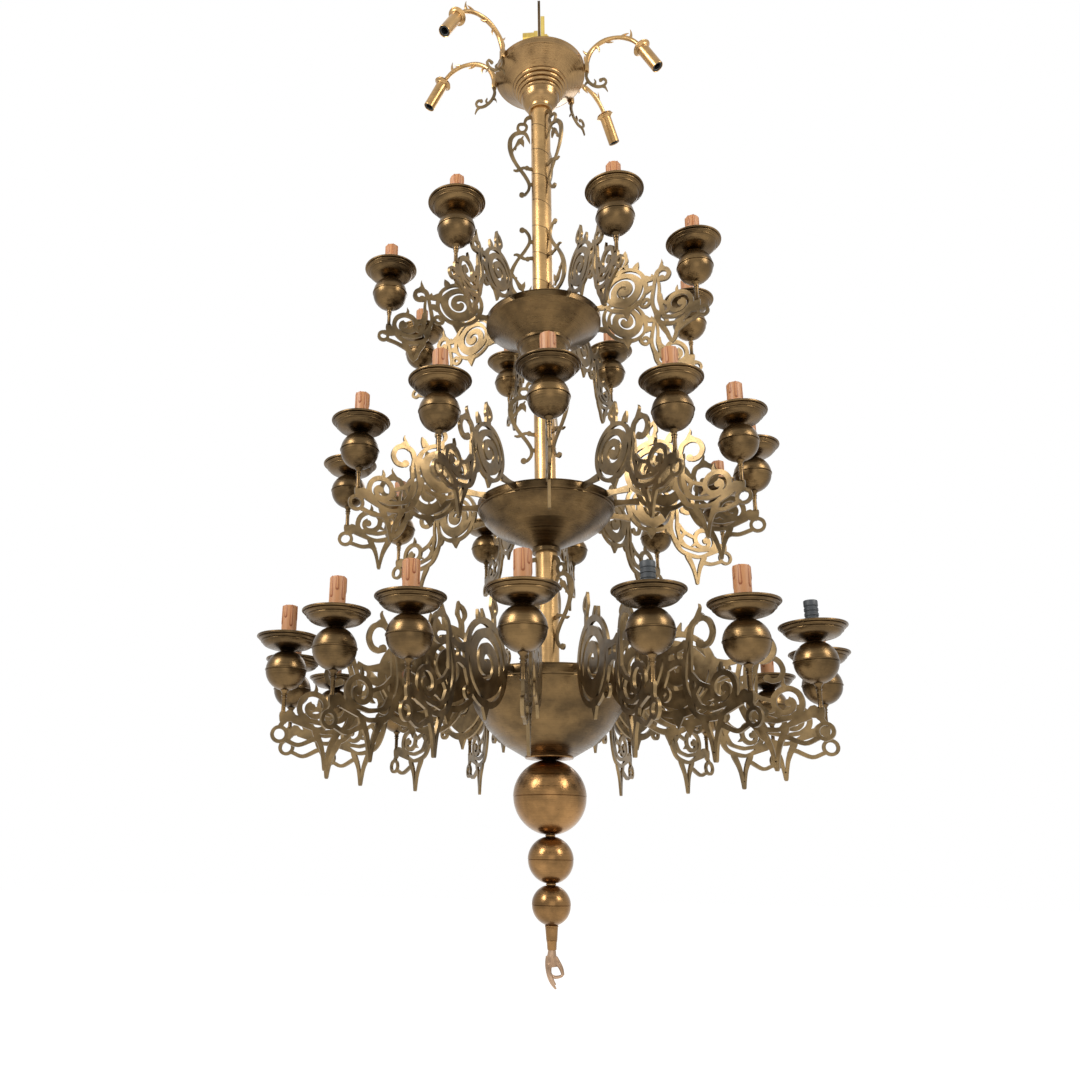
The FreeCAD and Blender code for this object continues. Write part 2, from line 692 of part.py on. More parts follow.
# Canopy: a flat top plate over a spun shell with a banded shoulder, four rings and a bell
plate_under = canopy_top - size("canopy_plate_thickness")
canopy_plate = tube("canopy_plate", size("canopy_radius"), bore, plate_under, canopy_top)
band_under = plate_under - size("canopy_band")
shoulder = band_under - size("canopy_shoulder_height")
step, ring_height = size("canopy_ring_step"), size("canopy_ring_height")
canopy_bottom = -size("canopy_bottom_drop")
collar_top = canopy_bottom + size("canopy_collar_height")
canopy_outside = [(size("canopy_radius"), plate_under), (size("canopy_radius"), band_under)]
for ring in range(CANOPY_RINGS):
    canopy_outside.append((size("canopy_shoulder_radius") - step * ring, shoulder - ring_height * ring,
                           size("canopy_ring_radius")))
rings_radius = size("canopy_shoulder_radius") - step * CANOPY_RINGS
rings_under = shoulder - ring_height * CANOPY_RINGS
canopy = turned("canopy", canopy_outside + [
    (rings_radius, rings_under, size("canopy_bell_radius")),
    (size("canopy_neck_radius"), collar_top),
    (size("canopy_collar_radius"), collar_top), (size("canopy_collar_radius"), canopy_bottom),
    (bore, canopy_bottom), (bore, collar_top),
    (size("canopy_neck_radius") - wall, collar_top),
    (rings_radius - wall * 2, rings_under),
    (size("canopy_shoulder_radius") - wall, shoulder),
    (size("canopy_radius") - wall, band_under), (size("canopy_radius") - wall, plate_under)])
nodes += [canopy_plate, canopy]


# Stem: three tubes over one long tie rod, with a dish under each tier
def rim_top(tier):
    return -size("dish_%d_drop" % tier)


dish_under = {1: -size("dish_1_bottom_drop"), 2: -size("dish_2_bottom_drop"), 3: -size("dish_3_bottom_drop")}
tube_bore = stem_radius - size("tube_wall")
stem_tubes = [
    tube("stem_tube_1", stem_radius, tube_bore, rim_top(1) + cover, canopy_bottom),
    tube("stem_tube_2", stem_radius, tube_bore, rim_top(2) + cover, dish_under[1]),
    tube("stem_tube_3", stem_radius, tube_bore, rim_top(3) + cover, dish_under[2]),
]
dish_covers = [tube("dish_cover_%d" % tier, size("dish_%d_radius" % tier), bore, rim_top(tier), rim_top(tier) + cover)
               for tier in (1, 2, 3)]
nodes += stem_tubes + dish_covers

dish_radius, dish_band = size("dish_1_radius"), rim_top(1) - size("dish_1_band")
dish_step, step_drop, neck = size("dish_1_step_radius"), -size("dish_1_step_drop"), size("dish_1_neck_radius")
dish_1 = turned("dish_1", [
    (dish_radius, rim_top(1)), (dish_radius, dish_band), (dish_step, step_drop),
    (dish_step, step_drop - step), (dish_step - step, step_drop - step),
    (dish_step - step, step_drop - step * 2), (dish_step - step * 3, step_drop - step * 4, -60),
    (neck, step_drop - step * 11), (neck, dish_under[1]), (bore, dish_under[1]), (bore, dish_under[1] + wall),
    (neck - wall, dish_under[1] + wall), (neck - wall, step_drop - step * 9),
    (dish_step - step * 4, step_drop), (dish_radius - wall, dish_band), (dish_radius - wall, rim_top(1))])

dish_radius, dish_band = size("dish_2_radius"), rim_top(2) - size("dish_2_band")
edge, edge_level, neck = size("dish_2_edge_radius"), -size("dish_2_edge_drop"), size("dish_2_neck_radius")
bead = size("dish_bead")
neck_level = dish_under[2] + size("dish_2_neck_height")
dish_2 = turned("dish_2", [
    (dish_radius, rim_top(2)), (dish_radius, dish_band, bead), (dish_radius - bead, dish_band - bead),
    (dish_radius - bead, dish_band - bead * 2, size("dish_2_swell_radius")), (edge, edge_level),
    (neck, neck_level), (neck, dish_under[2]), (bore, dish_under[2]), (bore, dish_under[2] + wall),
    (neck - wall, dish_under[2] + wall), (neck - wall, neck_level),
    (edge - wall, edge_level + wall), (dish_radius - bead - wall, dish_band - bead * 2),
    (dish_radius - bead - wall, rim_top(2))])

dish_radius, dish_band = size("dish_3_radius"), rim_top(3) - size("dish_3_band")
seat, swell = size("dish_3_seat_radius"), size("dish_3_swell_radius")
dish_3 = turned("dish_3", [
    (dish_radius, rim_top(3)), (dish_radius, dish_band), (dish_radius - bead, dish_band - bead, swell),
    (seat, dish_under[3]), (bore, dish_under[3]), (bore, dish_under[3] + wall),
    (seat, dish_under[3] + wall, -swell), (dish_radius - bead - wall, dish_band - bead),
    (dish_radius - bead - wall, rim_top(3))])
nodes += [dish_1, dish_2, dish_3]

# Finial: a disc, three balls on thin collars, a cuff and a pointing hand that closes on a ring
finial_neck, collar = size("finial_neck_radius"), size("finial_collar_height")
disc_under = dish_under[3] - size("disc_thickness")
bowl_disc = turned("bowl_disc", [
    (bore, dish_under[3]), (size("disc_radius"), dish_under[3]),
    (size("disc_radius"), dish_under[3] - size("disc_thickness") / 2),
    (finial_neck * 2, disc_under), (bore, disc_under)])
nodes.append(bowl_disc)
level = disc_under
for number in (1, 2, 3):
    ball = size("finial_ball_%d_radius" % number)
    half = half_chord(ball, finial_neck)
    finial_ball = turned("finial_ball_%d" % number, [
        (bore, half), (finial_neck, half, ball), (finial_neck, -half), (bore, -half)])
    place(finial_ball, 0, level - half)
    nodes.append(finial_ball)
    level = level - half * 2
    if number < 3:
        nodes.append(tube("finial_collar_%d" % number, finial_neck - 2, bore, level - collar, level))
        level = level - collar
cuff_under = level - size("cuff_height")
cuff_waist = cuff_under + size("cuff_foot_height")
finial_cuff = turned("finial_cuff", [
    (bore, level), (size("cuff_top_radius"), level),
    (size("cuff_foot_radius") + size("cuff_step"), cuff_waist),
    (size("cuff_foot_radius"), cuff_waist), (size("cuff_foot_radius"), cuff_under), (bore, cuff_under)])
rod_end = cuff_waist
hand, wrist, width = size("hand_length"), size("wrist_radius"), size("hand_width")
hand_corners = [(wrist, 0), (-wrist, 0)]
for across, down, *bend in HAND_OUTLINE:
    hand_corners.append((width * across, -hand * down, *[-hand * arc for arc in bend]))
finial_hand = sawn("finial_hand", "XZ_Plane", hand_corners, size("hand_thickness"))
ring_across, ring_down = HAND_RING_PLACE
bored(finial_hand, "XZ_Plane", width * ring_across, -hand * ring_down, size("hand_ring_radius"))
place(finial_hand, 0, cuff_under)
tie_rod = doc.addObject("Part::Cylinder", "tie_rod")
tie_rod.setExpression("Radius", size("tie_rod_radius").formula)
tie_rod.setExpression("Height", (canopy_top - rod_end).formula)
place(tie_rod, 0, rod_end)
tie_nut = tube("tie_nut", size("tie_nut_radius"), bore, plate_under - size("tie_nut_height"), plate_under)
nodes += [finial_cuff, finial_hand, tie_rod, tie_nut]

# Scroll ornaments: three in a set, hung under the canopy and each dish, and stood on the top dish
scroll_angles = [size("scroll_angle_" + letter) for letter in "abc"]
top_scroll = scroll_plate("top_scroll", "top_scroll_height", False)
standing_scroll = scroll_plate("standing_scroll", "top_scroll_height", True)
low_scroll = scroll_plate("low_scroll", "low_scroll_height", False)
for name, scroll, level in (
        ("hanging_scrolls_1", top_scroll, canopy_bottom - size("scroll_drop")),
        ("standing_scrolls_1", standing_scroll, rim_top(1) + cover),
        ("hanging_scrolls_2", low_scroll, dish_under[1] - size("scroll_drop")),
        ("hanging_scrolls_3", low_scroll, dish_under[2] - size("scroll_drop"))):
    lowered = doc.addObject("Part::Compound", name + "_set")
    lowered.Links = [scroll]
    place(lowered, 0, level)
    nodes.append(around(name, [lowered], scroll_angles))

# Downlights: a bent branch from the canopy's edge, a flared collar and a cup that points down
spot_angles = [size("spot_angle_" + letter) for letter in "abcd"]
rise, fall, dip = size("spot_rise_radius"), size("spot_fall_radius"), size("spot_dip")
foot_in = size("canopy_radius") + gap
branch_start = foot_in + size("spot_foot_depth") / 2
peak_x, peak_z = (branch_start + rise).value, (canopy_top + rise).value
dip_turn = math.radians(dip.value)
start = point(branch_start.value, canopy_top.value)
rise_middle = point(peak_x - rise.value * math.cos(math.pi / 4), canopy_top.value + rise.value * math.sin(math.pi / 4))
peak = point(peak_x, peak_z)


def on_fall(turn):
    return point(peak_x + fall.value * math.sin(turn), peak_z - fall.value * (1 - math.cos(turn)))


branch_end = on_fall(dip_turn)
path = Part.Wire([Part.Arc(start, rise_middle, peak).toShape(),
                  Part.Arc(peak, on_fall(dip_turn / 2), branch_end).toShape()])
ring = Part.Wire(Part.makeCircle(size("spot_arm_radius").value, start, FreeCAD.Vector(0, 0, 1)))
branch = path.makePipeShell([ring], True, True)
foot = Part.makeBox(size("spot_foot_depth").value, size("spot_foot_width").value, size("spot_foot_height").value,
                    point(foot_in.value, canopy_top.value - size("spot_foot_height").value)
                    + FreeCAD.Vector(0, -size("spot_foot_width").value / 2, 0))
spot_arm = doc.addObject("Part::Feature", "spot_arm")
spot_arm.Shape = branch.fuse(foot).removeSplitter()
tail = tail_plate("spot_tail")
place(tail, branch_start, canopy_top - size("spot_foot_height"))

cup_wall, cup_radius = size("spot_sleeve_wall"), size("spot_sleeve_radius")
collar_height = size("spot_collar_height")
spot_collar = turned("spot_collar", [
    (0, 0), (size("spot_arm_radius") + 2, 0), (size("spot_collar_radius"), collar_height * 0.4),
    (size("spot_collar_radius"), collar_height * 0.6), (cup_radius + 1, collar_height), (0, collar_height)])
cup_end = collar_height + size("spot_sleeve_length")
spot_sleeve = turned("spot_sleeve", [
    (cup_radius - cup_wall, collar_height), (cup_radius, collar_height),
    (cup_radius, cup_end), (cup_radius - cup_wall, cup_end)])
holder_end = cup_end - size("spot_holder_sink")
holder_radius, socket, socket_depth = size("holder_radius"), size("socket_radius"), size("socket_depth")
spot_holder = turned("spot_holder", [
    (0, collar_height), (holder_radius, collar_height), (holder_radius, holder_end),
    (socket, holder_end), (socket, holder_end - socket_depth), (0, holder_end - socket_depth)])
for piece in (spot_collar, spot_sleeve, spot_holder):
    piece.Label = piece.Name + "_pattern"
    place(piece, branch_end.x, branch_end.z, dip + 90)
for name, piece in (("spot_arms", spot_arm), ("spot_tails", tail), ("spot_collars", spot_collar),
                    ("spot_sleeves", spot_sleeve), ("spot_lampholders", spot_holder)):
    nodes.append(around(name, [piece], spot_angles))


# One lamp, built about the centre of its ball: rod and nut, ball, drip pan, lampholder, sleeve
def lamp_pieces(tier):
    ball = size("ball_radius")
    foot_level = -half_chord(ball, size("ball_foot_radius"))
    neck_level = half_chord(ball, size("ball_neck_radius"))
    nut_under = foot_level - size("nut_height")
    rod_radius, rod_foot = size("rod_radius"), -size("rod_foot")
    pan, pan_top = size("pan_radius"), neck_level + size("pan_height")
    lip = size("pan_lip")
    floor = neck_level + size("pan_floor_rise")
    sleeve, sleeve_wall = size("sleeve_radius"), size("sleeve_wall")
    sleeve_top, holder_top = floor + size("sleeve_height"), floor + size("holder_height")
    return {
        "stem_rods": turned("rod_%d" % tier, [
            (0, rod_foot), (rod_radius, rod_foot), (rod_radius, nut_under), (size("nut_radius"), nut_under),
            (size("nut_radius"), foot_level), (0, foot_level)]),
        "lamp_balls": turned("ball_%d" % tier, [
            (0, foot_level), (size("ball_foot_radius"), foot_level, -ball),
            (size("ball_neck_radius"), neck_level), (0, neck_level)]),
        "drip_pans": turned("pan_%d" % tier, [
            (0, neck_level), (size("ball_neck_radius"), neck_level),
            (size("pan_knee_radius"), neck_level + size("pan_knee_height")),
            (size("pan_step_radius"), neck_level + size("pan_step_height")),
            (pan, pan_top - lip), (pan, pan_top), (pan - lip, pan_top), (pan - lip - lip, pan_top - lip),
            (size("pan_floor_radius"), floor), (0, floor)]),
        "lampholders": turned("holder_%d" % tier, [
            (0, floor), (holder_radius, floor), (holder_radius, holder_top), (socket, holder_top),
            (socket, holder_top - socket_depth), (0, holder_top - socket_depth)]),
        "candle_sleeves": turned("sleeve_%d" % tier, [
            (sleeve - sleeve_wall, floor), (sleeve, floor), (sleeve, sleeve_top),
            (sleeve - sleeve_wall, sleeve_top)]),
    }


# Tiers: the arm plate stands on the dish's edge and carries the lamp; two lamps have no sleeve
BARE_LAMPS = {3: (9, 11)}
for tier in (1, 2, 3):
    angles = [size("arm_%d_angle_%d" % (tier, number + 1)) for number in range(len(ARM_ANGLES[tier]))]
    ring_radius, ball_level = size("lamp_ring_%d" % tier), -size("lamp_drop_%d" % tier)
    arm = place(fret_plate(tier), ring_radius, ball_level)
    nodes.append(around("arm_plates_%d" % tier, [arm], angles))
    for name, piece in lamp_pieces(tier).items():
        place(piece, ring_radius, ball_level)
        here = angles
        if name == "candle_sleeves":
            here = [angle for number, angle in enumerate(angles) if number + 1 not in BARE_LAMPS.get(tier, ())]
        nodes.append(around("%s_%d" % (name, tier), [piece], here))

doc.recompute()
failed = [thing.Name for thing in doc.Objects if "Invalid" in thing.State or "Error" in thing.State]
if failed:
    raise RuntimeError("These objects failed: " + ", ".join(failed))
for node in nodes:
    shape = node.Shape
    if shape.isNull() or not shape.isValid() or not shape.Solids:
        raise RuntimeError("%s has no valid solid" % node.Label)
    Part.makeCompound(shape.Solids).exportStep("parts/%s.step" % node.Label)
    print("%-22s %3d solids, volume %.1f cm3" % (node.Label, len(shape.Solids), shape.Volume / 1000))
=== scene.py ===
# %% [markdown]
# # A brass polycandelon in three tiers
#
# A polycandelon is a hanging lamp that holds many small lights on metal arms. This one has
# three tiers of candle lamps on flat sawn arms, round a tube with three spun dishes, four
# downlights on its canopy, and a finial of three balls and a small hand.
#
# The solid model comes in as a fixed frame. The cells below light it, give each solid its
# finish, and put finer pieces where the plain solids are too coarse to look right.

import json
import math

import bmesh
import bpy
from mathutils import Matrix, Vector
from mathutils.geometry import delaunay_2d_cdt, interpolate_bezier


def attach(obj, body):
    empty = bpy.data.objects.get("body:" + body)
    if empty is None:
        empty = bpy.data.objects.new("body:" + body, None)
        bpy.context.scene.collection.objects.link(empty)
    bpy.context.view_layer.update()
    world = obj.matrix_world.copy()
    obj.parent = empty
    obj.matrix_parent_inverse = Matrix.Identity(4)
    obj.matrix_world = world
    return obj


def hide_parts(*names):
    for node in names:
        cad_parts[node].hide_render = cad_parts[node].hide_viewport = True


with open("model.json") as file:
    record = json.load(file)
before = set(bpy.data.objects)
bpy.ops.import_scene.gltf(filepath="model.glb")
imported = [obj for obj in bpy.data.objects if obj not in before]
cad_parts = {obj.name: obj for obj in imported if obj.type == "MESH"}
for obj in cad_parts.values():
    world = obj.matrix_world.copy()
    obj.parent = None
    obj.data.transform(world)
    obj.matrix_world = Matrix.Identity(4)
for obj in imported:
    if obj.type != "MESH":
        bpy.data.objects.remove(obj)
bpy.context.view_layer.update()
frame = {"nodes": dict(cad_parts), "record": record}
scene = bpy.context.scene
scene.view_settings.view_transform = "Standard"
MM = 0.001
BODY = "chandelier"

# %% [markdown]
# ## The camera
#
# The lamp was photographed from below its middle, with the camera tipped upwards. The lens
# and the place follow from the sizes of the lamp balls, which are all alike. A small shift
# stands for the way the picture was cut.

# %% Camera
PICTURE_WIDTH = 1080
FOCAL_LENGTH = 956.1
CENTRE_OF_VIEW = (455.1, 563.2)
YAW, PITCH, ROLL = (math.radians(angle) for angle in (-5.73, 17.47, 0.93))

camera = bpy.data.objects.new("camera", bpy.data.cameras.new("camera"))
scene.collection.objects.link(camera)
scene.camera = camera
camera.data.sensor_width = 36
camera.data.lens = camera.data.sensor_width * FOCAL_LENGTH / PICTURE_WIDTH
camera.data.shift_x = 0.5 - CENTRE_OF_VIEW[0] / PICTURE_WIDTH
camera.data.shift_y = CENTRE_OF_VIEW[1] / PICTURE_WIDTH - 0.5
camera.matrix_world = (
    Matrix.Translation((0, -1.7667, -1.930))
    @ Matrix.Rotation(-YAW, 4, "Z")
    @ Matrix.Rotation(math.radians(90) + PITCH, 4, "X")
    @ Matrix.Rotation(ROLL, 4, "Z"))
print("lens %.1f mm" % camera.data.lens)

# %% [markdown]
# ## Nodes made short
#
# A material is a tree of nodes. Each call of `node` adds one, sets its plain properties,
# and fills its inputs: a number or colour is set on the socket, and another node's output
# is joined to it.

# %% A helper for nodes
def node(tree, kind, inputs=None, **properties):
    made = tree.nodes.new("ShaderNode" + kind)
    for name, value in properties.items():
        setattr(made, name, value)
    for name, value in (inputs or {}).items():
        if isinstance(value, bpy.types.NodeSocket):
            tree.links.new(value, made.inputs[name])
        else:
            made.inputs[name].default_value = value
    return made


def new_material(name):
    """An empty material, its tree and its output node."""
    made = bpy.data.materials.new(name)
    made.use_nodes = True
    made.node_tree.nodes.clear()
    return made, made.node_tree, node(made.node_tree, "OutputMaterial")


# %% [markdown]
# ## Studio
#
# The background of the picture is white. The floor and the world are white only to camera,
# mirror and glass rays, so that they don't pour light on the lamp. Four large soft lamps
# give the long highlights that show brass is turned and brushed.

# %% World and floor
world = bpy.data.worlds.new("studio")
scene.world = world
world.use_nodes = True
world.node_tree.nodes.clear()
rays = node(world.node_tree, "LightPath")
seen = node(world.node_tree, "Math", {0: rays.outputs["Is Camera Ray"], 1: rays.outputs["Is Glossy Ray"]},
            operation="MAXIMUM")
seen = node(world.node_tree, "Math", {0: seen.outputs[0], 1: rays.outputs["Is Transmission Ray"]},
            operation="MAXIMUM")
soft_light = node(world.node_tree, "Background", {"Color": (1, 0.98, 0.95, 1), "Strength": 0.45})
white = node(world.node_tree, "Background", {"Color": (1, 1, 1, 1), "Strength": 1.0})
sky = node(world.node_tree, "MixShader", {0: seen.outputs[0], 1: soft_light.outputs[0], 2: white.outputs[0]})
node(world.node_tree, "OutputWorld", {"Surface": sky.outputs[0]})

FLOOR_LEVEL = -3.0
FLOOR_GLOW = 0.72
floor_mesh = bmesh.new()
bmesh.ops.create_grid(floor_mesh, x_segments=1, y_segments=1, size=30)
bmesh.ops.translate(floor_mesh, verts=floor_mesh.verts, vec=(0, 0, FLOOR_LEVEL))
floor = bpy.data.objects.new("floor", bpy.data.meshes.new("floor"))
floor_mesh.to_mesh(floor.data)
floor_mesh.free()
scene.collection.objects.link(floor)
floor_paint, tree, output = new_material("floor_paint")
rays = node(tree, "LightPath")
paint = node(tree, "BsdfDiffuse", {"Color": (0.9, 0.9, 0.9, 1)})
glow = node(tree, "Emission", {"Color": (1, 1, 1, 1), "Strength": FLOOR_GLOW})
lit = node(tree, "AddShader", {0: paint.outputs[0], 1: glow.outputs[0]})
seen = node(tree, "Math", {0: rays.outputs["Is Camera Ray"], 1: rays.outputs["Is Glossy Ray"]},
            operation="MAXIMUM")
seen = node(tree, "Math", {0: seen.outputs[0], 1: rays.outputs["Is Transmission Ray"]}, operation="MAXIMUM")
surface = node(tree, "MixShader", {0: seen.outputs[0], 1: paint.outputs[0], 2: lit.outputs[0]})
tree.links.new(surface.outputs[0], output.inputs["Surface"])
floor.data.materials.append(floor_paint)
print("floor %.1f m below the eye" % -FLOOR_LEVEL)


# %% Soft lamps
def soft_lamp(name, place, target, size, power, colour):
    """A square lamp that shines on a place."""
    data = bpy.data.lights.new(name, "AREA")
    data.size = size
    data.energy = power
    data.color = colour
    lamp = bpy.data.objects.new(name, data)
    scene.collection.objects.link(lamp)
    lamp.location = place
    lamp.rotation_euler = (Vector(target) - Vector(place)).to_track_quat("-Z", "Y").to_euler()
    return lamp


MIDDLE = (0, 0, -0.8)
soft_lamp("left_window", (-2.4, -1.9, 0.5), MIDDLE, 1.2, 110, (1.0, 0.97, 0.93))
soft_lamp("right_window", (2.5, -1.6, 0.3), MIDDLE, 1.0, 70, (1.0, 0.95, 0.88))
soft_lamp("front_fill", (0.3, -3.2, -1.4), MIDDLE, 1.6, 10, (1.0, 0.96, 0.9))
soft_lamp("back_rim", (0.8, 2.8, 0.6), MIDDLE, 1.6, 25, (0.95, 0.97, 1.0))

# %% [markdown]
# ## Brass
#
# Nearly all of the lamp is one metal in several finishes. Each finish is the same recipe:
# slow clouds of patina between a pale and a deep colour, fine lines left by the lathe or
# the brush, and small dark specks. The lines are noise squeezed along one axis. They change
# the colour, the roughness and the bump together, as real scratches do.

# %% A recipe for brass
def brass(name, pale, deep, roughness, lines, line_depth=0.15, cloud=16, specks=0.25):
    """lines gives how closely the brush marks lie along X, Y and Z."""
    made, tree, output = new_material(name)
    place = node(tree, "TexCoord").outputs["Object"]
    clouds = node(tree, "TexNoise", {"Vector": place, "Scale": cloud, "Detail": 5, "Roughness": 0.6})
    cloud_share = node(tree, "MapRange", {0: clouds.outputs[0], 1: 0.35, 2: 0.68})
    stretched = node(tree, "Mapping", {"Vector": place, "Scale": lines})
    marks = node(tree, "TexNoise", {"Vector": stretched.outputs[0], "Scale": 1.0, "Detail": 3})
    mark_share = node(tree, "MapRange", {0: marks.outputs[0], 1: 0.3, 2: 0.7})
    spots = node(tree, "TexNoise", {"Vector": place, "Scale": 420, "Detail": 2})
    spot_share = node(tree, "MapRange", {0: spots.outputs[0], 1: 0.66, 2: 0.74, 3: 0.0, 4: specks})

    patina = node(tree, "Mix", {0: cloud_share.outputs[0], 6: (*pale, 1), 7: (*deep, 1)}, data_type="RGBA")
    lined = node(tree, "Mix", {0: 0.12, 6: patina.outputs[2], 7: mark_share.outputs[0]},
                 data_type="RGBA", blend_type="OVERLAY")
    spotted = node(tree, "Mix", {0: spot_share.outputs[0], 6: lined.outputs[2], 7: (0.03, 0.022, 0.012, 1)},
                   data_type="RGBA")
    rough_marks = node(tree, "MapRange", {0: marks.outputs[0], 1: 0.3, 2: 0.7, 3: roughness - 0.07,
                                          4: roughness + 0.09})
    rough = node(tree, "Math", {0: rough_marks.outputs[0], 1: spot_share.outputs[0]}, operation="ADD")
    bump = node(tree, "Bump", {"Strength": line_depth, "Distance": 0.0006, "Height": marks.outputs[0]})
    shader = node(tree, "BsdfPrincipled", {
        "Base Color": spotted.outputs[2], "Metallic": 1.0, "Roughness": rough.outputs[0],
        "Normal": bump.outputs[0]})
    tree.links.new(shader.outputs[0], output.inputs["Surface"])
    return made


RINGS = (6, 6, 1500)
UPRIGHT = (500, 500, 8)
FLAT = (60, 60, 60)
finishes = {
    "dark_brass": brass("dark_brass", (0.155, 0.097, 0.042), (0.055, 0.036, 0.018), 0.30, RINGS),
    "brushed_brass": brass("brushed_brass", (0.50, 0.31, 0.13), (0.30, 0.185, 0.08), 0.30, RINGS),
    "sawn_brass": brass("sawn_brass", (0.24, 0.165, 0.08), (0.10, 0.072, 0.040), 0.38, FLAT),
    "finial_brass": brass("finial_brass", (0.30, 0.165, 0.065), (0.12, 0.068, 0.028), 0.24, RINGS),
    "bright_brass": brass("bright_brass", (0.80, 0.58, 0.16), (0.52, 0.36, 0.09), 0.24, UPRIGHT),
}
hand_brass = brass("hand_brass", (0.46, 0.32, 0.22), (0.25, 0.16, 0.10), 0.36, FLAT)
print("finishes:", sorted(finishes))

# %% [markdown]
# ## Wax, lampholders and steel
#
# The candle sleeves are plastic cast in the colour of wax, so light goes a little way in.
# The lampholders are matt grey or black mouldings. The rod through the stem is zinc plated.


# %% Recipes for plastic and steel
def plain_finish(name, colour, roughness, metallic=0.0, grain=300, depth=0.1, soft=0.0, variation=0.25):
    """A matt finish with a fine grain and slow changes of shade."""
    made, tree, output = new_material(name)
    place = node(tree, "TexCoord").outputs["Object"]
    slow = node(tree, "TexNoise", {"Vector": place, "Scale": 25, "Detail": 4})
    fine = node(tree, "TexNoise", {"Vector": place, "Scale": grain, "Detail": 3})
    darker = tuple(part * (1 - variation) for part in colour)
    shade = node(tree, "Mix", {0: slow.outputs[0], 6: (*colour, 1), 7: (*darker, 1)}, data_type="RGBA")
    rough = node(tree, "MapRange", {0: fine.outputs[0], 3: roughness - 0.08, 4: roughness + 0.08})
    bump = node(tree, "Bump", {"Strength": depth, "Distance": 0.0005, "Height": fine.outputs[0]})
    shader = node(tree, "BsdfPrincipled", {
        "Base Color": shade.outputs[2], "Metallic": metallic, "Roughness": rough.outputs[0],
        "Subsurface Weight": soft, "Subsurface Radius": (0.004, 0.002, 0.001), "Normal": bump.outputs[0]})
    tree.links.new(shader.outputs[0], output.inputs["Surface"])
    return made


finishes["wax_sleeve"] = plain_finish("wax_sleeve", (0.47, 0.215, 0.085), 0.5, soft=0.12, variation=0.15)
finishes["grey_lampholder"] = plain_finish("grey_lampholder", (0.030, 0.036, 0.042), 0.55, grain=600)
finishes["black_lampholder"] = plain_finish("black_lampholder", (0.022, 0.024, 0.022), 0.5, grain=600)
finishes["zinc_steel"] = plain_finish("zinc_steel", (0.55, 0.55, 0.53), 0.35, metallic=1.0)
drip_brown = plain_finish("drip_brown", (0.30, 0.085, 0.02), 0.5)

for part in frame["record"]["subparts"]:
    thing = frame["nodes"][part["node"]]
    thing.data.materials.clear()
    thing.data.materials.append(finishes[part["material_slot"]])

# %% [markdown]
# ## Turning on a lathe
#
# Spun and turned brass is a profile carried round an axis, so it is made the same way here.
# The profile is drawn from the bottom upwards. A corner with a third number is reached on
# an arc that turns by that many degrees, and a positive turn bulges outwards. The arcs are
# spun from a single point, and the full turn from the whole profile.


# %% Helpers for turned pieces
def draw_profile(mesh, corners, closed=False, step=12):
    """A wire of edges on the XZ plane, from sizes in millimetres."""
    first = tip = mesh.verts.new((corners[0][0] * MM, 0, corners[0][1] * MM))
    for across, up, *turn in corners[1:]:
        end = Vector((across * MM, 0, up * MM))
        if not turn:
            corner = mesh.verts.new(end)
            mesh.edges.new((tip, corner))
            tip = corner
            continue
        angle = math.radians(turn[0])
        chord = end - tip.co
        centre = (tip.co + end) / 2 + Vector((-chord.z, 0, chord.x)) / 2 / math.tan(angle / 2)
        arc = bmesh.ops.spin(mesh, geom=[tip], cent=centre, axis=(0, 1, 0), angle=-angle,
                             steps=max(2, round(abs(turn[0]) / step)))
        tip = [part for part in arc["geom_last"] if isinstance(part, bmesh.types.BMVert)][0]
    if closed:
        mesh.edges.new((tip, first))


def lathe(corners, sides=64, closed=False, step=12):
    """A solid of revolution about the Z axis."""
    mesh = bmesh.new()
    draw_profile(mesh, corners, closed, step)
    bmesh.ops.spin(mesh, geom=mesh.verts[:] + mesh.edges[:], cent=(0, 0, 0), axis=(0, 0, 1),
                   angle=2 * math.pi, steps=sides, use_merge=True)
    bmesh.ops.remove_doubles(mesh, verts=mesh.verts, dist=1e-6)
    bmesh.ops.recalc_face_normals(mesh, faces=mesh.faces)
    return mesh


def add_copy(mesh, other, matrix):
    """Add another bmesh to this one, moved by the matrix."""
    before = len(mesh.verts)
    held = bpy.data.meshes.new("held")
    other.to_mesh(held)
    mesh.from_mesh(held)
    bpy.data.meshes.remove(held)
    mesh.verts.ensure_lookup_table()
    bmesh.ops.transform(mesh, matrix=matrix, verts=mesh.verts[before:])


def finish_piece(name, mesh, finish, replaced=(), body=BODY, sharp=32, paint=None):
    """Make the object, smooth its faces between sharp edges, and hang it on its body."""
    data = bpy.data.meshes.new(name)
    for face in mesh.faces:
        face.smooth = True
    mesh.to_mesh(data)
    mesh.free()
    data.set_sharp_from_angle(angle=math.radians(sharp))
    piece = bpy.data.objects.new(name, data)
    scene.collection.objects.link(piece)
    data.materials.append(paint or finishes[finish])
    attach(piece, body)
    if replaced:
        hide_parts(*replaced)
    print("%-22s %6d faces" % (name, len(data.polygons)))
    return piece


# %% [markdown]
# ## The stem
#
# Three tubes sit between the canopy and the dishes. A fine dark line wound down the top one is a
# painted reflection of the scrolls beside it. A full spin makes each tube. The line is the same
# spin with a climb: one short edge is turned round the axis while it rises.

# %% Stem tubes
TUBE_RADIUS = 21.5
TUBE_BORE = 20
TUBES = {"stem_tube_1": (-841, -305), "stem_tube_2": (-1252, -972), "stem_tube_3": (-1598, -1355)}
for name, (bottom, top) in TUBES.items():
    tube = lathe([(TUBE_BORE, bottom), (TUBE_RADIUS, bottom), (TUBE_RADIUS, top), (TUBE_BORE, top)],
                 sides=72, closed=True)
    finish_piece(name + "_brushed", tube, "brushed_brass", [name])
